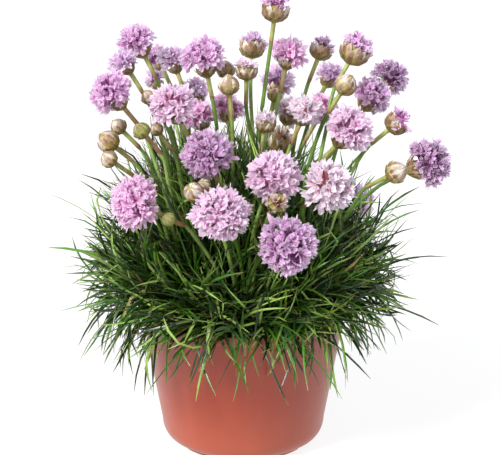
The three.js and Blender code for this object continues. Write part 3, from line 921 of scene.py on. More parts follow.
def stem_material():
    """Green stalks, with painted shade that darkens them towards the foot, fine ribs and a pale, brown-edged
    papery sheath.
    """
    material, tree = new_material("stem")
    tone, along, _ = leaf_fields(tree)
    greens = [(0.0, (78, 112, 34)), (0.5, (110, 142, 56)), (1.0, (148, 172, 94))]
    # Painted shade: the stalks darken towards their feet, down among the leaves
    lower = (along, [(0.08, 0.8), (0.5, 0.0)], (38, 64, 18))
    papery = [(0.0, (142, 156, 76)), (0.6, (176, 182, 112)), (1.0, (170, 130, 96))]
    streaks = (cloudy(tree, 420, 4, (1, 1, 0.18)), [(0.42, 0.0), (0.62, 0.65)], (128, 122, 56))
    torn = (along, [(0.88, 0.9), (0.95, 0.0)], (150, 94, 74))
    green = painted(tree, ramp(tree, tone, greens), [lower])
    sheath = painted(tree, ramp(tree, tone, papery), [streaks, torn])
    on_sheath = ramp(tree, along, [(0.86, 0.0), (0.865, 1.0)])
    colour = mixed(tree, on_sheath, green, sheath)
    blotch = (cloudy(tree, 240, 4), [(0.35, 0.78), (0.65, 1.0)], None)
    inputs = {
        "Base Color": painted(tree, colour, [blotch]),
        "Roughness": 0.48,
        "Specular IOR Level": 0.4,
        "Normal": bumpy(tree, waves(tree, 60.0), 0.3, 0.0002),
    }
    return shaded(material, inputs)


def bract_material():
    """Papery bracts: olive at the foot, tan to red-brown in the middle, a clear pale edge."""
    material, tree = new_material("bract")
    tone, along, side = leaf_fields(tree)
    stops = [
        (0.0, (132, 144, 72)),
        (0.3, (120, 96, 50)),
        (0.6, (138, 94, 66)),
        (0.85, (192, 164, 144)),
        (1.0, (236, 228, 220)),
    ]
    rib = ramp(tree, side, [(0.0, 0.4), (0.4, 0.0)])
    rib = both(tree, rib, ramp(tree, along, [(0.2, 0.0), (0.6, 1.0)]))
    veins = waves(tree, 22.0)
    fine = ramp(tree, veins, [(0.1, 0.0), (1.0, 0.45)])
    fine = both(tree, fine, ramp(tree, tone, [(0.0, 0.1), (0.4, 1.0)]))
    rim = math_node(tree, "MAXIMUM", side, math_node(tree, "MULTIPLY", along, 0.94))
    layers = [
        (along, [(0.12, 0.95), (0.68, 0.0)], (152, 150, 62)),
        (rib, None, (88, 52, 42)),
        (fine, None, (124, 80, 62)),
        (rim, [(0.78, 0.0), (0.96, 0.55)], (222, 204, 190)),
        (cloudy(tree, 380, 5), [(0.32, 0.6), (0.6, 1.0)], None),
    ]
    inputs = {
        "Base Color": painted(tree, ramp(tree, tone, stops), layers),
        "Roughness": 0.5,
        "Specular IOR Level": 0.4,
        "Normal": bumpy(tree, veins, 0.25, 0.0001),
    }
    return shaded(material, inputs)


def petal_material(tone_name):
    """Petals: dark in the throat, a fine darker vein down the middle and a pale edge that is partly their
    own colour and partly painted highlight.
    """
    material, tree = new_material("petal_" + tone_name)
    _, throat, body, edge = TONES[tone_name]
    tone, along, side = leaf_fields(tree)
    # The pale edge colour, at the tips and along the rim, is partly the petal's own and partly painted
    # highlight
    stops = [(0.1, throat), (0.48, body), (0.8, body), (1.0, edge)]
    rim = ramp(tree, side, [(0.55, 0.0), (1.0, 0.7)])
    rim = both(tree, rim, ramp(tree, along, [(0.4, 0.0), (0.7, 1.0)]))
    layers = [
        (rim, None, edge),
        (side, [(0.0, 0.25), (0.16, 0.0)], throat),
        (tone, [(0.0, 0.84), (0.5, 0.96), (1.0, 1.0)], None),
        (cloudy(tree, 300, 3), [(0.35, 0.9), (0.65, 1.0)], None),
    ]
    inputs = {
        "Base Color": painted(tree, ramp(tree, along, stops), layers),
        "Roughness": 0.55,
        "Specular IOR Level": 0.3,
        "Subsurface Weight": 0.6,
        "Subsurface Radius": (1.0, 0.8, 0.95),
        "Subsurface Scale": 0.003,
        "Normal": bumpy(tree, waves(tree, 18.0), 0.2, 0.0001),
    }
    return shaded(material, inputs)


# The pot

def wall_radius(height):
    return BASE_RADIUS + (RIM_RADIUS - BASE_RADIUS) * height / POT_HEIGHT


def rounded_edge(inset, low):
    """The rounded lower edge of a shell that lies inside the pot's outer face by inset."""
    reach = wall_radius(ROUND_HEIGHT) - inset
    points = []
    for i in range(ROUND_STEPS, -1, -1):
        turn = (i / ROUND_STEPS) * math.pi / 2
        radius = reach - ROUND_DEPTH * (1 - math.cos(turn))
        points.append((radius, ROUND_HEIGHT - (ROUND_HEIGHT - low) * math.sin(turn)))
    return points


def softened(outline):
    """An outline with its sharp corners rounded off."""
    points = [np.array(point, float) for point in outline]
    soft = [points[0]]
    for before, corner, after in zip(points, points[1:], points[2:]):
        come = corner - before
        go = after - corner
        near = min(CORNER_REACH, *(CORNER_SHARE * np.linalg.norm(way) for way in (come, go)))
        if unit(come) @ unit(go) > math.cos(math.radians(CORNER_TURN)):
            soft.append(corner)
            continue
        start = corner - unit(come) * near
        end = corner + unit(go) * near
        soft += [arc(start, corner, end, share) for share in CORNER_STEPS]
    return [*soft, points[-1]]


def cut(piece, cutters):
    """Cuts the cutters out of a piece and removes them."""
    modifier = piece.modifiers.new("cut", "BOOLEAN")
    modifier.operation = "DIFFERENCE"
    modifier.solver = "EXACT"
    modifier.object = cutters
    graph = bpy.context.evaluated_depsgraph_get()
    mesh = bpy.data.meshes.new_from_object(piece.evaluated_get(graph))
    piece.modifiers.clear()
    old = piece.data
    piece.data = mesh
    bpy.data.meshes.remove(old)
    bpy.data.objects.remove(cutters)


def box(low, high):
    """The eight corners and six faces of a box between two corners."""
    sides = np.array([low, high], float)
    points = sides[[[(i >> axis) & 1 for axis in range(3)] for i in range(8)], range(3)]
    faces = [(0, 2, 3, 1), (4, 5, 7, 6), (0, 1, 5, 4), (2, 6, 7, 3), (0, 4, 6, 2), (1, 3, 7, 5)]
    return points[None], [np.array(faces)]


def turn_about_z(points, turn):
    cosine, sine = math.cos(turn), math.sin(turn)
    return points @ np.array([[cosine, sine, 0], [-sine, cosine, 0], [0, 0, 1]])


def pot_holes():
    """The drain holes through the floor, and the slots through the foot ring beside them."""
    soup = Soup()
    top = FLOOR_TOP + CUT_PAST
    drain = [(0, -CUT_PAST), (DRAIN_RADIUS, -CUT_PAST), (DRAIN_RADIUS, top), (0, top)]
    low = (FOOT_INNER - CUT_PAST, -SLOT_WIDTH / 2, -CUT_PAST)
    high = (FOOT_OUTER + CUT_PAST, SLOT_WIDTH / 2, FOOT_HEIGHT)
    for i in range(DRAINS):
        turn = (i + 0.5) / DRAINS * 2 * math.pi
        points, faces = turned(drain, DRAIN_SIDES)
        points = points + DRAIN_PLACE * np.array([math.cos(turn), math.sin(turn), 0])
        soup.add(points, faces, 0, 0, 0)
        points, faces = box(low, high)
        soup.add(turn_about_z(points, turn), faces, 0, 0, 0)
    return soup


def make_pot():
    lip_low = POT_HEIGHT - LIP_HEIGHT
    lip = RIM_RADIUS + LIP_STEP
    outline = [
        (0, 0),
        (PAD_RADIUS, 0),
        (PAD_RADIUS + PAD_SLOPE, FOOT_HEIGHT),
        (FOOT_INNER, FOOT_HEIGHT),
        (FOOT_INNER, 0),
        (FOOT_OUTER, 0),
        (FOOT_OUTER, FOOT_HEIGHT),
        *rounded_edge(0, FOOT_HEIGHT),
        (wall_radius(lip_low - LIP_STEP), lip_low - LIP_STEP),
        (lip, lip_low),
        (lip, POT_HEIGHT),
        (RIM_RADIUS - WALL, POT_HEIGHT),
        *rounded_edge(WALL, FLOOR_TOP)[::-1],
        (0, FLOOR_TOP),
    ]
    soup = Soup()
    soup.add(*turned(softened(outline), POT_SIDES), 0.5, 0.5, 0.0)
    pot = mesh_object("pot_shell", soup, pot_material(), POT_SHARP)
    cut(pot, mesh_object("holes", pot_holes(), pot.data.materials[0]))
    smooth(pot.data, POT_SHARP)
    finish_piece(pot, "pot", "pot")


# The soil

SOIL_RADIUS = wall_radius(SOIL_EDGE) - WALL - SOIL_GAP


def soil_height(x, y):
    """The soil's top at a place: a low mound, rough with crumbs."""
    radius = math.hypot(x, y)
    radii = [0, SOIL_SHOULDER_RADIUS, SOIL_RADIUS]
    shape = np.interp(radius, radii, [SOIL_TOP, SOIL_SHOULDER, SOIL_EDGE])
    rough = noise.fractal(Vector((x, y, 0)) * SOIL_GRAIN, *SOIL_NOISE)
    return shape + SOIL_ROUGH * rough * min(1, (SOIL_RADIUS - radius) / SOIL_FADE)


def make_soil():
    low = rounded_edge(WALL + SOIL_GAP, FLOOR_TOP + SOIL_GAP)
    top = [(SOIL_RADIUS * (1 - i / SOIL_RINGS), SOIL_EDGE) for i in range(SOIL_RINGS)]
    points, faces = turned([(0, low[0][1]), *low, *top, (0, SOIL_TOP)], SOIL_SIDES)
    surface = points[0]
    for i in [*range(len(low) * SOIL_SIDES, len(surface) - 2), len(surface) - 1]:
        surface[i, 2] = soil_height(surface[i, 0], surface[i, 1])
    soup = Soup()
    soup.add(points, faces, 0.5, 0.5, 0.0)
    add_crumbs(soup)
    finish_piece(mesh_object("peat", soup, soil_material()), "soil", "soil")


def add_crumbs(soup):
    draw = np.random.default_rng(SOIL_SEED)
    ball, faces = turned(CRUMB_OUTLINE, CRUMB_SIDES)
    for _ in range(CRUMBS):
        turn = draw.random() * 2 * math.pi
        reach = (SOIL_RADIUS - CRUMB_MARGIN) * math.sqrt(draw.random())
        x, y = reach * math.cos(turn), reach * math.sin(turn)
        size = draw.uniform(*CRUMB_SIZE) / 2
        lump = ball * size * draw.uniform(*CRUMB_STRETCH, 3)
        lump = lump * (1 + CRUMB_UNEVEN * draw.standard_normal(ball.shape))
        spot = [x, y, soil_height(x, y) + CRUMB_LIFT * size]
        soup.add(turn_about_z(lump, turn) + spot, faces, 0.5, 0.5, 0)


# The heads and their stalks, laid out as in the part's source

def crown_place(k):
    if k == 0:
        return np.zeros(3)
    turn = math.radians(CROWN_TURN + 360 / (len(CROWNS) - 1) * (k - 1))
    return np.array([CROWN_PLACE * math.cos(turn), CROWN_PLACE * math.sin(turn), 0.0])


def crown_of(x, y):
    """The rootstock that a head's stalk grows from: the middle one, or the one that lies its way."""
    if math.hypot(x, y) < CROWN_REACH:
        return 0
    outer = len(CROWNS) - 1
    turn = math.atan2(y, x) - math.radians(CROWN_TURN)
    return 1 + math.floor(turn / (2 * math.pi) * outer + 0.5) % outer


class Head:
    """One head's measures: the way it faces, its radius, and where its stalk ends."""

    def __init__(self, number, kind, x, y, z, width, tone=""):
        self.number = number
        self.kind = kind
        self.tone = tone
        self.middle = np.array([x, y, z], float)
        self.axis = unit(self.middle - [0, 0, FAN_HEIGHT])
        self.radius = width / 2
        self.reach, self.cup = KINDS[kind]
        self.end = self.middle - self.axis * self.cup[0][0] * self.radius
        self.crown = crown_of(x, y)
        side = unit(np.cross([1.0, 0, 0], self.axis))
        self.frame = np.stack([side, np.cross(self.axis, side), self.axis])

    def place(self, local):
        """Points in the head's own frame, with its axis up, put where the head is."""
        return local @ self.frame + self.middle


def take_feet(heads):
    """The stalks' feet are spread over the rootstock. The one that leans furthest chooses first."""
    for k in range(len(CROWNS)):
        crown = crown_place(k) + [0, 0, CROWN_TOP]
        own = [head for head in heads if head.crown == k]
        own.sort(key=lambda head: -math.hypot(*(head.end - crown)[:2]))
        free = []
        for i in range(len(own)):
            reach = STALK_FOOT * math.sqrt((i + 0.5) / len(own))
            free.append(crown + [reach * math.cos(i * GOLDEN), reach * math.sin(i * GOLDEN), 0])
        for head in own:
            way = (head.end - crown) * [1, 1, 0]
            length = np.linalg.norm(way)
            wanted = crown + way / length * STALK_FOOT * min(1, length / STALK_FAR)
            distances = [np.linalg.norm(foot - wanted) for foot in free]
            head.foot = free.pop(int(np.argmin(distances)))


def stalk_points(head, bow):
    """A stalk's middle line: up from its rootstock, then straight through the sheath."""
    span = np.linalg.norm(head.end - head.foot)
    way = (head.end - head.foot) * [1, 1, 0]
    rise = head.foot + UP * STALK_RISE * span + way * STALK_LEAN + bow * STALK_RISE_BOW
    bend = head.end - head.axis * STALK_BEND * span + bow
    points = []
    for t in STALK_STEPS:
        s = 1 - t
        points.append(s ** 3 * head.foot + 3 * s * s * t * rise + 3 * s * t * t * bend + t ** 3 * head.end)
    return np.array([*points, head.end - head.axis * SHEATH_LENGTH, head.end])


def line_distances(starts, ends, others_from, others_to):
    """The least distance between each line and each other line, as (lines, others)."""
    d1 = (ends - starts)[:, None]
    d2 = (others_to - others_from)[None]
    r = starts[:, None] - others_from[None]
    a = (d1 * d1).sum(-1) + 1e-12
    e = (d2 * d2).sum(-1) + 1e-12
    f = (d2 * r).sum(-1)
    c = (d1 * r).sum(-1)
    b = (d1 * d2).sum(-1)
    denominator = a * e - b * b
    steep = denominator > 1e-9 * a * e
    s = np.where(steep, (b * f - c * e) / np.where(steep, denominator, 1), 0).clip(0, 1)
    t = (b * s + f) / e
    s = np.where(t < 0, (-c / a).clip(0, 1), np.where(t > 1, ((b - c) / a).clip(0, 1), s))
    t = t.clip(0, 1)
    return np.linalg.norm(r + d1 * s[..., None] - d2 * t[..., None], axis=-1)


def lay_stalks(heads):
    """Each stalk takes the first bow, on a widening spiral, that clears the heads and others."""
    random = seeded(STALK_SEED)
    take_feet(heads)
    laid = []
    for head in heads:
        others = [other for other in heads if other is not head]
        middles = np.array([other.middle for other in others])
        radii = np.array([other.radius for other in others])
        bow_turn = next(random) * 2 * math.pi
        bow_size = next(random) * STALK_BOW
        best = -math.inf
        for i in range(STALK_TRIES):
            turn = bow_turn + i * GOLDEN
            size = (bow_size if i == 0 else 0) + STALK_SPIRAL * math.sqrt(i)
            points = stalk_points(head, size * np.array([math.cos(turn), math.sin(turn), 0]))
            gaps = line_distances(points[:-1], points[1:], middles, middles) - radii
            room = gaps.min() - SHEATH_RADIUS - HEAD_CLEAR
            if laid:
                tubes = np.array(laid)
                apart = line_distances(points[:-1], points[1:], tubes[:, 0], tubes[:, 1])
                room = min(room, apart.min() - 2 * STALK_RADIUS - STALK_CLEAR)
            if room > best:
                best = room
                head.stalk = points
            if room >= 0:
                break
        laid += list(zip(head.stalk[:-1], head.stalk[1:]))


def smooth_path(points, count, end_way):
    """A smooth curve of count points through the given ones, which ends along end_way."""
    spans = np.linalg.norm(np.diff(points, axis=0), axis=1)
    reach = np.concatenate([[0], np.cumsum(spans)])
    slopes = np.gradient(points, reach, axis=0)
    slopes[-2:] = end_way
    at = np.linspace(0, reach[-1], count)
    i = np.minimum(np.searchsorted(reach, at, side="right") - 1, len(points) - 2)
    span = np.diff(reach)[i][:, None]
    t = (at - reach[i])[:, None] / span
    leaving = (2 * t ** 3 - 3 * t ** 2 + 1) * points[i] + (t ** 3 - 2 * t ** 2 + t) * span * slopes[i]
    arriving = (3 * t ** 2 - 2 * t ** 3) * points[i + 1] + (t ** 3 - t ** 2) * span * slopes[i + 1]
    return leaving + arriving


def add_stalk(soup, head, draw):
    """A ribbed stalk, and the brown papery sheath that hangs from the head down it."""
    points = head.stalk.copy()
    points[0] -= UP * STALK_BURIED
    path = smooth_path(points, STALK_RINGS, head.axis)[None]
    share = np.linspace(0, 1, STALK_RINGS)
    uneven = STALK_UNEVEN * draw.standard_normal(STALK_RINGS)
    radii = STALK_RADIUS * (1.0 - STALK_TAPER * share + uneven)
    skin, faces = swept(path, np.array([1.0, 0, 0]), circle(STALK_SIDES), radii[None])
    side = np.tile(np.arange(STALK_SIDES) / STALK_SIDES, STALK_RINGS)
    tone = draw.random()
    soup.add(skin, faces, tone, np.repeat(share, STALK_SIDES) * STALK_ALONG, side)
    torn = some(SHEATH_TORN, draw.random(STALK_SIDES))
    down, wide, along = np.array(SHEATH_RINGS).T
    turn = 2 * math.pi * np.arange(STALK_SIDES) / STALK_SIDES
    back = down[:, None] * SHEATH_LENGTH * torn
    across = leant(head.frame[0], head.frame[1], turn) * (wide * STALK_RADIUS)[:, None, None]
    sheath = head.end - head.axis * back[..., None] + across
    faces = skin_faces(len(down), STALK_SIDES)
    along = np.repeat(along, STALK_SIDES)
    soup.add(sheath.reshape(1, -1, 3), faces, tone, along, side[: len(along)])


# The bract cups and the buds

def outline_at(head, share):
    """A point of the cup's outline: how high it stands on the head's axis, and how wide."""
    outline = np.array(head.cup)
    spans = np.linalg.norm(np.diff(outline, axis=0), axis=1)
    reach = np.concatenate([[0], np.cumsum(spans)]) / spans.sum()
    high = -np.interp(share, reach, outline[:, 0])
    wide = np.interp(share, reach, outline[:, 1])
    return high * head.radius, wide * head.radius


def add_bracts(soup, head, count, start, stop, lift, tone, draw):
    """A row of overlapping bracts on the cup's outline, between two shares of its length."""
    rows = np.linspace(0, 1, LENS)
    columns = np.linspace(1, -1, LENS)
    offset = draw.random() * 2 * math.pi
    own = draw.random((count, 3))
    far = start + (stop - start) * some(BRACT_LENGTHS, own[:, :1])
    share = start + (far - start) * rows
    high, wide = outline_at(head, share.clip(0, 1))
    high = high + np.maximum(share - 1, 0) * head.radius
    wide = wide + lift * (BRACT_FOOT_LIFT + rows ** 2) * some(BRACT_LIFTS, own[:, 1:2])
    turn = offset + 2 * math.pi * (np.arange(count) + BRACT_ASTRAY * own[:, 2]) / count
    half_turn = BRACT_OVERLAP * math.pi / count
    angle = turn[:, None, None] + half_turn * BRACT_WIDTHS[:, None] * columns
    keel = BRACT_KEEL * (1 - np.abs(columns)) - BRACT_EDGE * np.abs(columns)
    grid = (wide[..., None] + keel)[..., None] * around(angle) + high[..., None, None] * UP
    tones = (tone + BRACT_TONES * (draw.random(count) - 0.5)).clip(0, 1)
    add_lenses(soup, head.place(grid), BRACT_THICK, tones)


def add_cup(soup, head, draw):
    """The cup or bud under its bracts, and the bracts themselves."""
    high, wide = outline_at(head, np.linspace(0, 1, CUP_ROWS))
    skin = [(0, high[0]), *zip(wide * CUP_INNER, high), (0, high[-1] + CUP_CAP)]
    points, faces = turned(skin, CUP_SIDES)
    soup.add(head.place(points), faces, 0.3, 0.2, 0.5)
    for count, start, stop, lift, tone in BRACT_ROWS[head.kind]:
        tone = tone * (GREEN_BUD if head.tone == "green" else 1)
        add_bracts(soup, head, count, start, stop, lift, tone, draw)


# The flowers

def flower_ways(head, draw):
    """Where the flowers face: evenly over the head from its tip down to its reach."""
    depth = 1 - math.cos(math.radians(head.reach))
    area = 2 * math.pi * (head.radius - 1) ** 2 * depth
    count = max(FLOWERS_LEAST, round(area / FLOWER_AREA))
    high = 1 - depth * (np.arange(count) + 0.5) / count
    turn = GOLDEN * np.arange(count) + draw.random() * SPIRAL_START
    ways = np.sqrt(1 - high ** 2)[:, None] * around(turn) + high[:, None] * UP
    return unit(ways + FLOWER_ASTRAY * draw.standard_normal(ways.shape))


def add_flowers(soup, head, ways, sunk, size, draw):
    """Five-petalled flowers that face their ways, with their throats sunk below the head's rim."""
    count = len(ways)
    size = size * some(FLOWER_SIZES, draw.random(count))
    lumps = FLOWER_LUMPS * draw.standard_normal((3, 3))
    lumpy = FLOWER_UNEVEN * np.sin(ways @ lumps).sum(1)
    reach = head.radius * (1 + lumpy) - FLOWER_RISE * size - sunk * draw.random(count)
    throat = ways * reach[:, None]
    add_tubes(soup, head, throat, draw)
    axis = unit(ways + FLOWER_TILT * draw.standard_normal(ways.shape))
    first = unit(np.cross(axis, unit(draw.standard_normal(axis.shape))))
    second = np.cross(axis, first)
    opened = draw.uniform(*OPENED[head.kind], count)
    for i in range(PETALS):
        turn = 2 * math.pi * (i + PETAL_ASTRAY * draw.standard_normal(count)) / PETALS
        out = leant(first, second, turn)
        shape = petal_shape(opened, TONES[head.tone][0], draw)
        parts = zip((out, np.cross(axis, out), axis), shape)
        grid = sum(way[:, None, None, :] * amount[..., None] for way, amount in parts)
        grid = throat[:, None, None, :] + grid * size[:, None, None, None]
        tones = some(PETAL_TONES, draw.standard_normal(count)).clip(0, 1)
        add_lenses(soup, head.place(grid), PETAL_THICK, tones)


def petal_shape(opened, width, draw):
    """Grids of petals: how far each point lies outwards, across and up from the throat."""
    count = len(opened)
    away, rise, half, ruffling, curling = PETAL.T[..., None]
    half = half * width
    columns = np.linspace(-1, 1, LENS)
    notch = PETAL_NOTCH * (1 - columns ** 2) * (0.5 + np.abs(columns))
    notch = np.outer([0, 0, 0, 1], notch)
    own = (opened * draw.uniform(*PETAL_OPENED, count))[:, None, None]
    wide = draw.uniform(*PETAL_WIDE, count)[:, None, None]
    skew = PETAL_SKEW * draw.standard_normal(count)[:, None, None]
    ruffle = PETAL_RUFFLE * draw.standard_normal((count, 1, LENS)) * ruffling
    curl = PETAL_CURL * draw.standard_normal(count)[:, None, None] * curling
    length = draw.uniform(*PETAL_LONG, count)[:, None, None]
    steep, flattened = PETAL_UPRIGHT
    upward = (rise * (steep - flattened * own) + notch * (PETAL_TIP_RISE - own)) * length + curl * own
    upward = upward + half * (PETAL_CUPPED * columns ** 2 + skew * columns + ruffle)
    return away * own + notch * own, half * columns * wide, upward


def add_tubes(soup, head, throat, draw):
    """The flowers' narrow tubes, from the head's core to their throats."""
    paths = throat[:, None] * TUBE_STEPS[:, None]
    radii = TUBE_RADII * draw.uniform(*TUBE_UNEVEN, (len(throat), 1))
    across = unit(draw.standard_normal(throat.shape))[:, None]
    points, faces = swept(paths, across, circle(TUBE_SIDES), radii)
    soup.add(head.place(points), faces, draw.uniform(0, 0.5, len(throat)), 0.06, 0.5)


def make_head(head):
    """A head of flowers, with smaller ones between them, round a dark core."""
    draw = np.random.default_rng(HEAD_SEED + head.number)
    soup = Soup()
    size = SMALL_FLOWER + (1 - SMALL_FLOWER) * min(1, head.radius / FULL_RADIUS)
    ways = flower_ways(head, draw)
    add_flowers(soup, head, ways, FLOWER_SUNK, size, draw)
    under = flower_ways(head, draw)
    under = under[draw.random(len(under)) < UNDER_SHARE]
    add_flowers(soup, head, under, UNDER_SUNK, UNDER_SIZE * size, draw)
    radius = head.radius * CORE_SHARE
    turns = np.linspace(math.radians(head.reach + CORE_PAST), 0, CORE_ROWS)[:-1]
    rings = [(radius * math.sin(turn), radius * math.cos(turn)) for turn in turns]
    points, faces = turned([(0, rings[0][1]), *rings, (0, radius)], CORE_SIDES)
    soup.add(head.place(points), faces, 0.2, 0.05, 0.5)
    name = "flowers_%02d" % head.number
    piece = mesh_object(name, soup, petals[head.tone], PETAL_SHARP)
    finish_piece(piece, "petals", "%s_%02d" % (head.kind, head.number))


# The leaves

def stepped(start, ways, length):
    """Paths that go their ways step by step, each from a little below its start."""
    steps = ways * (length / ways.shape[1])[:, None, None]
    foot = start - ways[:, 0] * LEAF_BURIED
    return np.concatenate([foot[:, None], start[:, None] + np.cumsum(steps, 1)], 1)


def long_paths(k, rank, draw):
    """Middle lines of a tuft's long leaves, as in the part's source but in finer steps."""
    turn = any_turns(len(rank), draw)
    draws = draw.random((len(rank), 4))
    crown = crown_place(k)
    out = unit(crown)
    stand = LEAF_MIDDLE if k == 0 else 1
    way = around(turn)
    flop = stand * rank * (1 - LEAF_INNER * (1 - way @ out) / 2)
    start = crown + way * between(LEAF_ROOT, rank)[:, None] + UP * CROWN_TOP
    way = unit(way + out * LEAF_OUTWARD * rank[:, None])
    heading = np.arctan2(way[:, 1], way[:, 0])[:, None]
    length = LEAF_LONG + (LEAF_SHORT - LEAF_LONG) * flop - LEAF_UNEVEN * draws[:, 1]
    lean = LEAF_UPRIGHT + LEAF_SPREAD * flop * (1 + LEAF_MIXED * (draws[:, 0] - 0.5))
    bend = LEAF_STIFF + LEAF_DROOP * flop ** 2 * (0.5 + draws[:, 2])
    sway = LEAF_SWAY * (2 * draws[:, 3] - 1)
    along = parted(LEAF_STEPS)
    tilt = np.radians((lean[:, None] + bend[:, None] * along ** LEAF_ARCH).clip(0, LEAF_HANG))
    swung = around(heading + np.radians(sway)[:, None] * along)
    return stepped(start, leant(UP, swung, tilt), length)


def wandering(paths, draw):
    """The paths, each bent smoothly aside, and more so towards its tip."""
    steps = np.diff(paths, axis=1)
    spans = np.linalg.norm(steps, axis=-1, keepdims=True)
    along = np.linspace(0, 1, steps.shape[1])[:, None]
    aside = TALL_STRAY * draw.standard_normal((len(paths), 1, 3))
    hook = TALL_HOOK * draw.standard_normal((len(paths), 1, 3))
    ways = unit(steps / spans + along * aside + along ** HOOK_LATE * hook)
    return np.concatenate([paths[:, :1], paths[:, :1] + np.cumsum(ways * spans, 1)], 1)


def bent_paths(start, way, length, droop, stray, hook, draw):
    """Leaves that set off on their ways, droop, stray aside and hook at the tip."""
    count = len(way)
    along = parted(LEAF_STEPS)[:, None]
    own = draw.uniform(*LEAF_BENDS, (count, 1, 1))
    aside = own * stray * draw.standard_normal((count, 1, 3))
    hook = own * hook * draw.standard_normal((count, 1, 3))
    down = droop[:, None, None] * UP
    ways = unit(way[:, None] + along ** BEND_LATE * (aside - down) + along ** HOOK_LATE * hook)
    return stepped(start, ways, length)


def arching_paths(k, draw):
    """Middle lines of the long leaves that stay in the bush."""
    rank = draw.random(LONG_LEAVES * SPARE_LEAVES) ** LEAF_RANK
    return within_bush(wandering(long_paths(k, rank, draw), draw), draw)


def upright_paths(k, draw):
    """Middle lines of the leaves between the stalks: they rise high enough and stay in the egg."""
    rank = TALL_RANK * draw.random(TALL_LEAVES[k] * TALL_TRIES)
    paths = wandering(long_paths(k, rank, draw), draw)
    inside = egg_share(paths, *THICKET) < draw.uniform(*THICKET_UNEVEN, len(paths))
    return paths[inside & (paths[:, -1, 2] > THICKET_TIPS)]


def rosette_bases(k, draw):
    """Where a tuft's rosettes stand, the ways they face and the shoots that carry them."""
    crown = crown_place(k)
    turn = (np.arange(ROSETTES) + 0.5 * draw.random(ROSETTES)) * GOLDEN + k
    out = around(turn)
    foot = crown + out * draw.uniform(*ROSETTE_RING, (ROSETTES, 1)) + UP * (CROWN_TOP - 1)
    outward = unit(crown) * draw.uniform(*ROSETTE_UNEVEN, (ROSETTES, 1))
    axis = unit(UP + ROSETTE_LEAN * out + ROSETTE_OUTWARD * outward)
    highest = ROSETTE_RISE * (1 + ROSETTE_BACKWARD * crown[1] / CROWN_PLACE)
    share = (np.arange(ROSETTES) + draw.random(ROSETTES)) / ROSETTES
    rise = ROSETTE_LOWEST + highest * share ** ROSETTE_RISES
    return foot, foot + axis * rise[:, None], axis, rise


def rosette_paths(bases, axes, rises, draw):
    """Middle lines of the leaves of a tuft's rosettes: they spread from each rosette's axis."""
    count = round(ROSETTE_LEAVES * ROSETTE_SPARE)
    rank = parted(count)
    groups = []
    for base, axis, rise in zip(bases, axes, rises):
        across = unit(np.cross(axis, ROSETTE_ACROSS))
        turn = GOLDEN * np.arange(count) + SPIRAL_START * draw.random()
        spread = between(ROSETTE_SPREAD, rank) * draw.uniform(*ROSETTE_SPREADS, count)
        spread = np.radians(spread)
        way = leant(axis, leant(across, np.cross(axis, across), turn), spread)
        tall = draw.uniform(*ROSETTE_TALL, count) - ROSETTE_RAISED * rise
        length = tall + (draw.uniform(*ROSETTE_SHORT, count) - tall) * rank
        droop = ROSETTE_DROOP * draw.random(count) * np.sin(spread)
        start = base - axis * ROSETTE_DEPTH * draw.random((count, 1))
        paths = bent_paths(start, way, length, droop, LEAF_STRAY, LEAF_HOOK, draw)
        groups.append(within_bush(paths, draw))
    return draw.permutation(np.concatenate(groups))


def skirt_paths(k, draw):
    """Middle lines of leaves that arch outwards over the rim and hang."""
    count = SKIRT * SPARE_LEAVES
    crown = crown_place(k)
    turn = math.atan2(crown[1], crown[0]) + SKIRT_ROUND * (2 * draw.random(count) - 1)
    out = around(turn)
    start = crown + out * draw.uniform(*ROSETTE_RING, (count, 1))
    start = start + UP * (CROWN_TOP + SKIRT_RISE * draw.random((count, 1)))
    tilt = np.radians(draw.uniform(*SKIRT_TILT, count))
    aside = unit(out + SKIRT_ASIDE * draw.standard_normal((count, 3)) * [1, 1, 0])
    way = leant(UP, aside, tilt)
    length = draw.uniform(*SKIRT_LENGTH, count)
    droop = draw.uniform(*SKIRT_DROOP, count)
    return bent_paths(start, way, length, droop, SKIRT_STRAY, SKIRT_HOOK, draw)


def stray_paths(k):
    """Middle lines of the single leaves that reach out of the bush from this tuft."""
    tips = [np.array(tip, float) for tip in STRAYS if crown_of(tip[0], tip[1]) == k]
    share = np.linspace(0, 1, LEAF_STEPS + 2)[:, None]
    paths = []
    for tip in tips:
        foot = crown_place(k) + UP * CROWN_TOP + unit(tip * [1, 1, 0]) * ROSETTE_RING[0]
        span = tip - foot
        bend = foot + span * STRAY_BEND + UP * STRAY_RISE * np.linalg.norm(span)
        paths.append(arc(foot, bend, tip, share))
    return np.array(paths).reshape(-1, LEAF_STEPS + 2, 3)


def egg_share(paths, middle, wide, high, drop):
    """How far each path goes out from an egg's middle, as a share of the egg's reach."""
    offset = paths - np.array(middle)
    outwards = np.hypot(offset[..., 0], offset[..., 1]) / wide
    upwards = offset[..., 2] / (high + drop * np.minimum(offset[..., 1], 0))
    return np.hypot(outwards, upwards).max(1)


def within_bush(paths, draw):
    """The paths, shortened where they leave the bush's egg by more than their own share."""
    own = between(BUSH_UNEVEN, draw.random(len(paths)) ** BUSH_BOLD)
    beyond = egg_share(paths, *BUSH) / own
    return paths[:, :1] + (paths - paths[:, :1]) / np.maximum(beyond, 1)[:, None, None]


# Which leaves fit

def above_hem(points, draw):
    """Whether points keep as close to the pot as leaves do that hang as low."""
    radius = np.hypot(points[..., 0], points[..., 1])
    below = np.maximum(HEM_HEIGHT - points[..., 2], 0)
    near = radius < draw.uniform(*HEM_WIDE, (len(points), 1)) - HEM_SLOPE * below
    return near & (points[..., 2] > draw.uniform(*HEM_LOWEST, (len(points), 1)))


def clear_of_pot(points, room):
    """Whether points, with the given room round them, are clear of the pot and the soil."""
    radius = np.hypot(points[..., 0], points[..., 1])
    height = points[..., 2]
    above = height > POT_HEIGHT + room
    beyond = radius > RIM_RADIUS + LIP_STEP + room
    inside = (radius < RIM_RADIUS - WALL - room) & (height > SOIL_TOP - 1)
    below = (height < POT_HEIGHT - LIP_HEIGHT - room) & (radius > wall_radius(height) + room)
    return above | beyond | inside | below


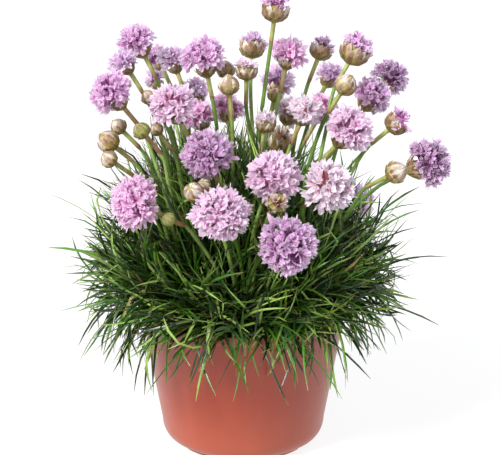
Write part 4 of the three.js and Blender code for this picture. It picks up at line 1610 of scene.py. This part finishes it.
def finer(paths, parts):
    """Points between the points of paths, parts for each step."""
    share = np.arange(parts)[:, None] / parts
    between = paths[:, :-1, None] * (1 - share) + paths[:, 1:, None] * share
    return between.reshape(len(paths), between.shape[1] * parts, 3)


def stalk_spots(heads):
    """Points all along the heads' stalks."""
    return np.concatenate([finer(head.stalk[None], STALK_PARTS)[0] for head in heads])


def hiding(points, spot, reach):
    """Whether points stand between a spot and the viewer, beside that line by less than reach."""
    offset = points - spot
    depth = offset @ VIEWER
    beside = (offset ** 2).sum(-1) - depth ** 2
    return (depth > 0) & (beside < reach ** 2)


def before_stalks(points, heads):
    """Whether points stand just in front of the upper part of a stalk on the viewer's side."""
    spots = stalk_spots([head for head in heads if head.middle[1] < STALKS_SEEN_TO])
    hidden = np.zeros(points.shape[:2], bool)
    for spot in spots[spots[:, 2] > STALKS_SEEN_FROM]:
        hidden |= hiding(points, spot, STALK_SEEN_BESIDE)
    return hidden


def which_fit(paths, heads, grouped, seen, draw):
    """Which paths clear the pot, the heads and the stalks and stay in the box. Those of a group
    keep above the hem too and leave most of the stalks in front in sight."""
    fine = finer(paths, LEAF_PARTS)
    good = clear_of_pot(fine[:, FIRST_LOOKED_AT:], POT_ROOM).all(1)
    low, high = [np.array(corner) / MM for corner in cad_box]
    good &= ((fine > low - BOX_PAST) & (fine < high + BOX_PAST)).all((1, 2))
    for head in heads:
        room = np.linalg.norm(fine - head.middle, axis=-1).min(1)
        good &= room > head.radius + HEAD_ROOM
        rear = head.middle[1] > REAR_HEADS[0] and head.middle[2] < REAR_HEADS[1]
        if not rear:
            good &= ~hiding(fine, head.middle, head.radius + HEAD_SEEN_BESIDE).any(1)
    if grouped:
        good &= above_hem(fine, draw).all(1)
        shown = draw.random(len(fine)) > seen
        good[good] = shown[good] | ~before_stalks(fine[good], heads).any(1)
    spots = stalk_spots(heads)
    for i in np.flatnonzero(good):
        apart = np.linalg.norm(fine[i][:, None] - spots[None], axis=-1).min()
        good[i] = apart > STALK_RADIUS + STALK_ROOM
    return good


def fitting(paths, heads, wanted, seen, draw):
    """The first wanted paths that fit, looked through some at a time, or all of them."""
    kept = paths[:0]
    for start in range(0, len(paths), LOOKED_AT):
        part = paths[start : start + LOOKED_AT]
        kept = np.concatenate([kept, part[which_fit(part, heads, wanted, seen, draw)]])
        if wanted and len(kept) >= wanted:
            return kept[:wanted]
    return kept


# The tufts

def add_leaves(soup, paths, tones, width, draw):
    """Blades along the paths: widest in the lower half, drawn out to a point."""
    share = np.linspace(0, 1, paths.shape[1])
    radii = (width / 2)[:, None] * np.interp(share, *LEAF_TAPER)
    along = unit(np.gradient(paths, axis=1))
    across = unit(np.cross(UP, along))
    twist = LEAF_TWIST[0] * draw.standard_normal((len(paths), 1))
    twist = twist + LEAF_TWIST[1] * draw.standard_normal((len(paths), 1)) * share
    across = leant(across, np.cross(along, across), twist)
    points, faces = swept(paths, across, LEAF_SECTION, radii)
    side = np.tile([1, 0, -1, 0], paths.shape[1])
    soup.add(points, faces, tones, np.repeat(share, len(LEAF_SECTION)), side)


def leaf_tones(count, draw):
    """Mostly greens, with some pale ones as painted highlights, some lime ones and a few dead leaves."""
    tones = draw.random(count) ** LEAF_TONES[0] * LEAF_TONES[1]
    pale = draw.random(count) < PALE_LEAVES[0]
    tones = np.where(pale, some(PALE_LEAVES[1:], draw.random(count)), tones)
    lime = draw.random(count) < LIME_LEAVES[0]
    dead = draw.random(count) < DEAD_LEAVES[0]
    tones = np.where(lime, some(LIME_LEAVES[1:], draw.random(count)), tones)
    return np.where(dead, some(DEAD_LEAVES[1:], draw.random(count)), tones)


def make_tuft(k, heads):
    """One tuft: a mound, long and upright leaves, rosettes, hanging leaves and stray ones."""
    draw = np.random.default_rng(LEAF_SEED + k)
    soup = Soup()
    feet, bases, axes, rises = rosette_bases(k, draw)
    add_shoots(soup, feet, bases, draw)
    rosettes = ROSETTES * ROSETTE_LEAVES
    groups = [
        (arching_paths(k, draw), LONG_LEAVES, LEAF_WIDTH, STALKS_SEEN),
        (upright_paths(k, draw), TALL_LEAVES[k], TALL_WIDTH, STALKS_SEEN_BEHIND),
        (rosette_paths(bases, axes, rises, draw), rosettes, LEAF_WIDTH, STALKS_SEEN),
    ]
    if k > 0:
        groups.append((skirt_paths(k, draw), SKIRT, LEAF_WIDTH, STALKS_SEEN))
        groups.append((stray_paths(k), None, LEAF_WIDTH, 0))
    for paths, wanted, width, seen in groups:
        paths = fitting(paths, heads, wanted, seen, draw)
        width = width * some(LEAF_WIDTHS, draw.random(len(paths)))
        add_leaves(soup, paths, leaf_tones(len(paths), draw), width, draw)
    add_mound(soup, k, draw)
    piece = mesh_object("foliage_" + CROWNS[k], soup, leaf, LEAF_SHARP)
    finish_piece(piece, "leaves", "leaves_" + CROWNS[k])


def add_shoots(soup, feet, bases, draw):
    """The short woody shoots that carry the rosettes."""
    steps = np.linspace(-SHOOT_BURIED, 1, len(SHOOT_RADII))[:, None]
    paths = feet[:, None] + (bases - feet)[:, None] * steps
    paths = paths + SHOOT_UNEVEN * draw.standard_normal(paths.shape)
    radii = SHOOT_RADIUS * SHOOT_RADII * np.ones((len(feet), 1))
    points, faces = swept(paths, np.array([1.0, 0, 0]), circle(SHOOT_SIDES), radii)
    soup.add(points, faces, 0.99, 0.4, 0.3)


def add_mound(soup, k, draw):
    """The rootstock's top: a brown mound bristling with the bases of old leaves."""
    crown = crown_place(k)
    points, faces = turned(MOUND, MOUND_SIDES)
    points = points + crown + MOUND_UNEVEN * draw.standard_normal(points.shape)
    soup.add(points, faces, 0.99, 0.5, 0.0)
    reach = between(STUB_RING, np.sqrt(draw.random(STUBS)))
    out = around(any_turns(STUBS, draw))
    foot = crown + out * reach[:, None] + UP * (CROWN_TOP - STUB_BURIED)
    rise = UP + out * (reach[:, None] * STUB_LEAN) + STUB_UNEVEN * draw.standard_normal((STUBS, 3))
    length = between(STUB_LENGTH, draw.random(STUBS))
    steps = np.linspace(0, 1, 4)[:, None] * length[:, None, None]
    paths = foot[:, None] + unit(rise)[:, None] * steps
    tones = some(STUB_TONES, draw.random(STUBS))
    add_leaves(soup, paths, tones, between(STUB_WIDTH, draw.random(STUBS)), draw)


def make_stalks(k, heads):
    """One rootstock's stalks, and the bract cups and buds on them."""
    draw = np.random.default_rng(BUNCH_SEED + k)
    stalks = Soup()
    bracts = Soup()
    for head in heads:
        if head.crown == k:
            add_stalk(stalks, head, draw)
            add_cup(bracts, head, draw)
    piece = mesh_object("stems_" + CROWNS[k], stalks, stem)
    finish_piece(piece, "stalks", "stalks_" + CROWNS[k])
    finish_piece(mesh_object("bracts_" + CROWNS[k], bracts, bract), "stalks")


# The stage: a pale floor, a soft key light from the front left and an even fill

def make_floor():
    bpy.ops.mesh.primitive_circle_add(vertices=FLOOR_SIDES, radius=FLOOR_RADIUS, fill_type="NGON")
    floor = bpy.context.object
    floor.name = "floor"
    material, tree = new_material("floor")
    inputs = {
        "Base Color": ramp(tree, cloudy(tree, 3, 2), FLOOR_SHADES),
        "Roughness": 0.9,
        "Specular IOR Level": 0.1,
        "Emission Color": (1, 1, 1, 1),
        "Emission Strength": FLOOR_GLOW,
    }
    floor.data.materials.append(shaded(material, inputs))


def make_studio():
    """Bright surroundings behind the plant and darker ones in front, and the soft lamps."""
    world = bpy.data.worlds.new("studio")
    world.use_nodes = True
    tree = world.node_tree
    depth = put(tree, "ShaderNodeSeparateXYZ", {0: place(tree, "Generated")}).outputs["Y"]
    front, back = WORLD_DEPTHS
    share = put(tree, "ShaderNodeMapRange", {0: depth, 1: front, 2: back}).outputs[0]
    glow = ramp(tree, share, [(0.1, WORLD_FRONT), (1.0, WORLD_BACK)])
    wire(tree, tree.nodes["Background"], {"Color": glow})
    bpy.context.scene.world = world
    for name, power, colour, turn, height, angle in LAMPS:
        lamp = bpy.data.lights.new(name, "SUN")
        lamp.energy = power
        lamp.color = colour
        lamp.angle = math.radians(angle)
        light = put_object(name, lamp)
        light.rotation_euler = (math.radians(90 - height), 0, math.radians(turn))
    bpy.context.scene.view_settings.view_transform = "Standard"


def make_camera():
    lens = bpy.data.cameras.new("camera")
    lens.sensor_width = SENSOR
    lens.lens = FOCAL * SENSOR
    camera = put_object("camera", lens)
    camera.location = (np.array(AIM) + VIEWER * DISTANCE) * MM
    camera.rotation_euler = (math.pi / 2 - RISE, 0, 0)
    bpy.context.scene.camera = camera


make_camera()
make_floor()
make_studio()
leaf = leaf_material()
stem = stem_material()
bract = bract_material()
petals = {tone: petal_material(tone) for tone in TONES}
plant = [Head(i + 1, *row) for i, row in enumerate(HEADS)]
lay_stalks(plant)
make_pot()
make_soil()
for crown in range(len(CROWNS)):
    make_tuft(crown, plant)
    make_stalks(crown, plant)
for flower_head in plant:
    if flower_head.kind != "bud":
        make_head(flower_head)
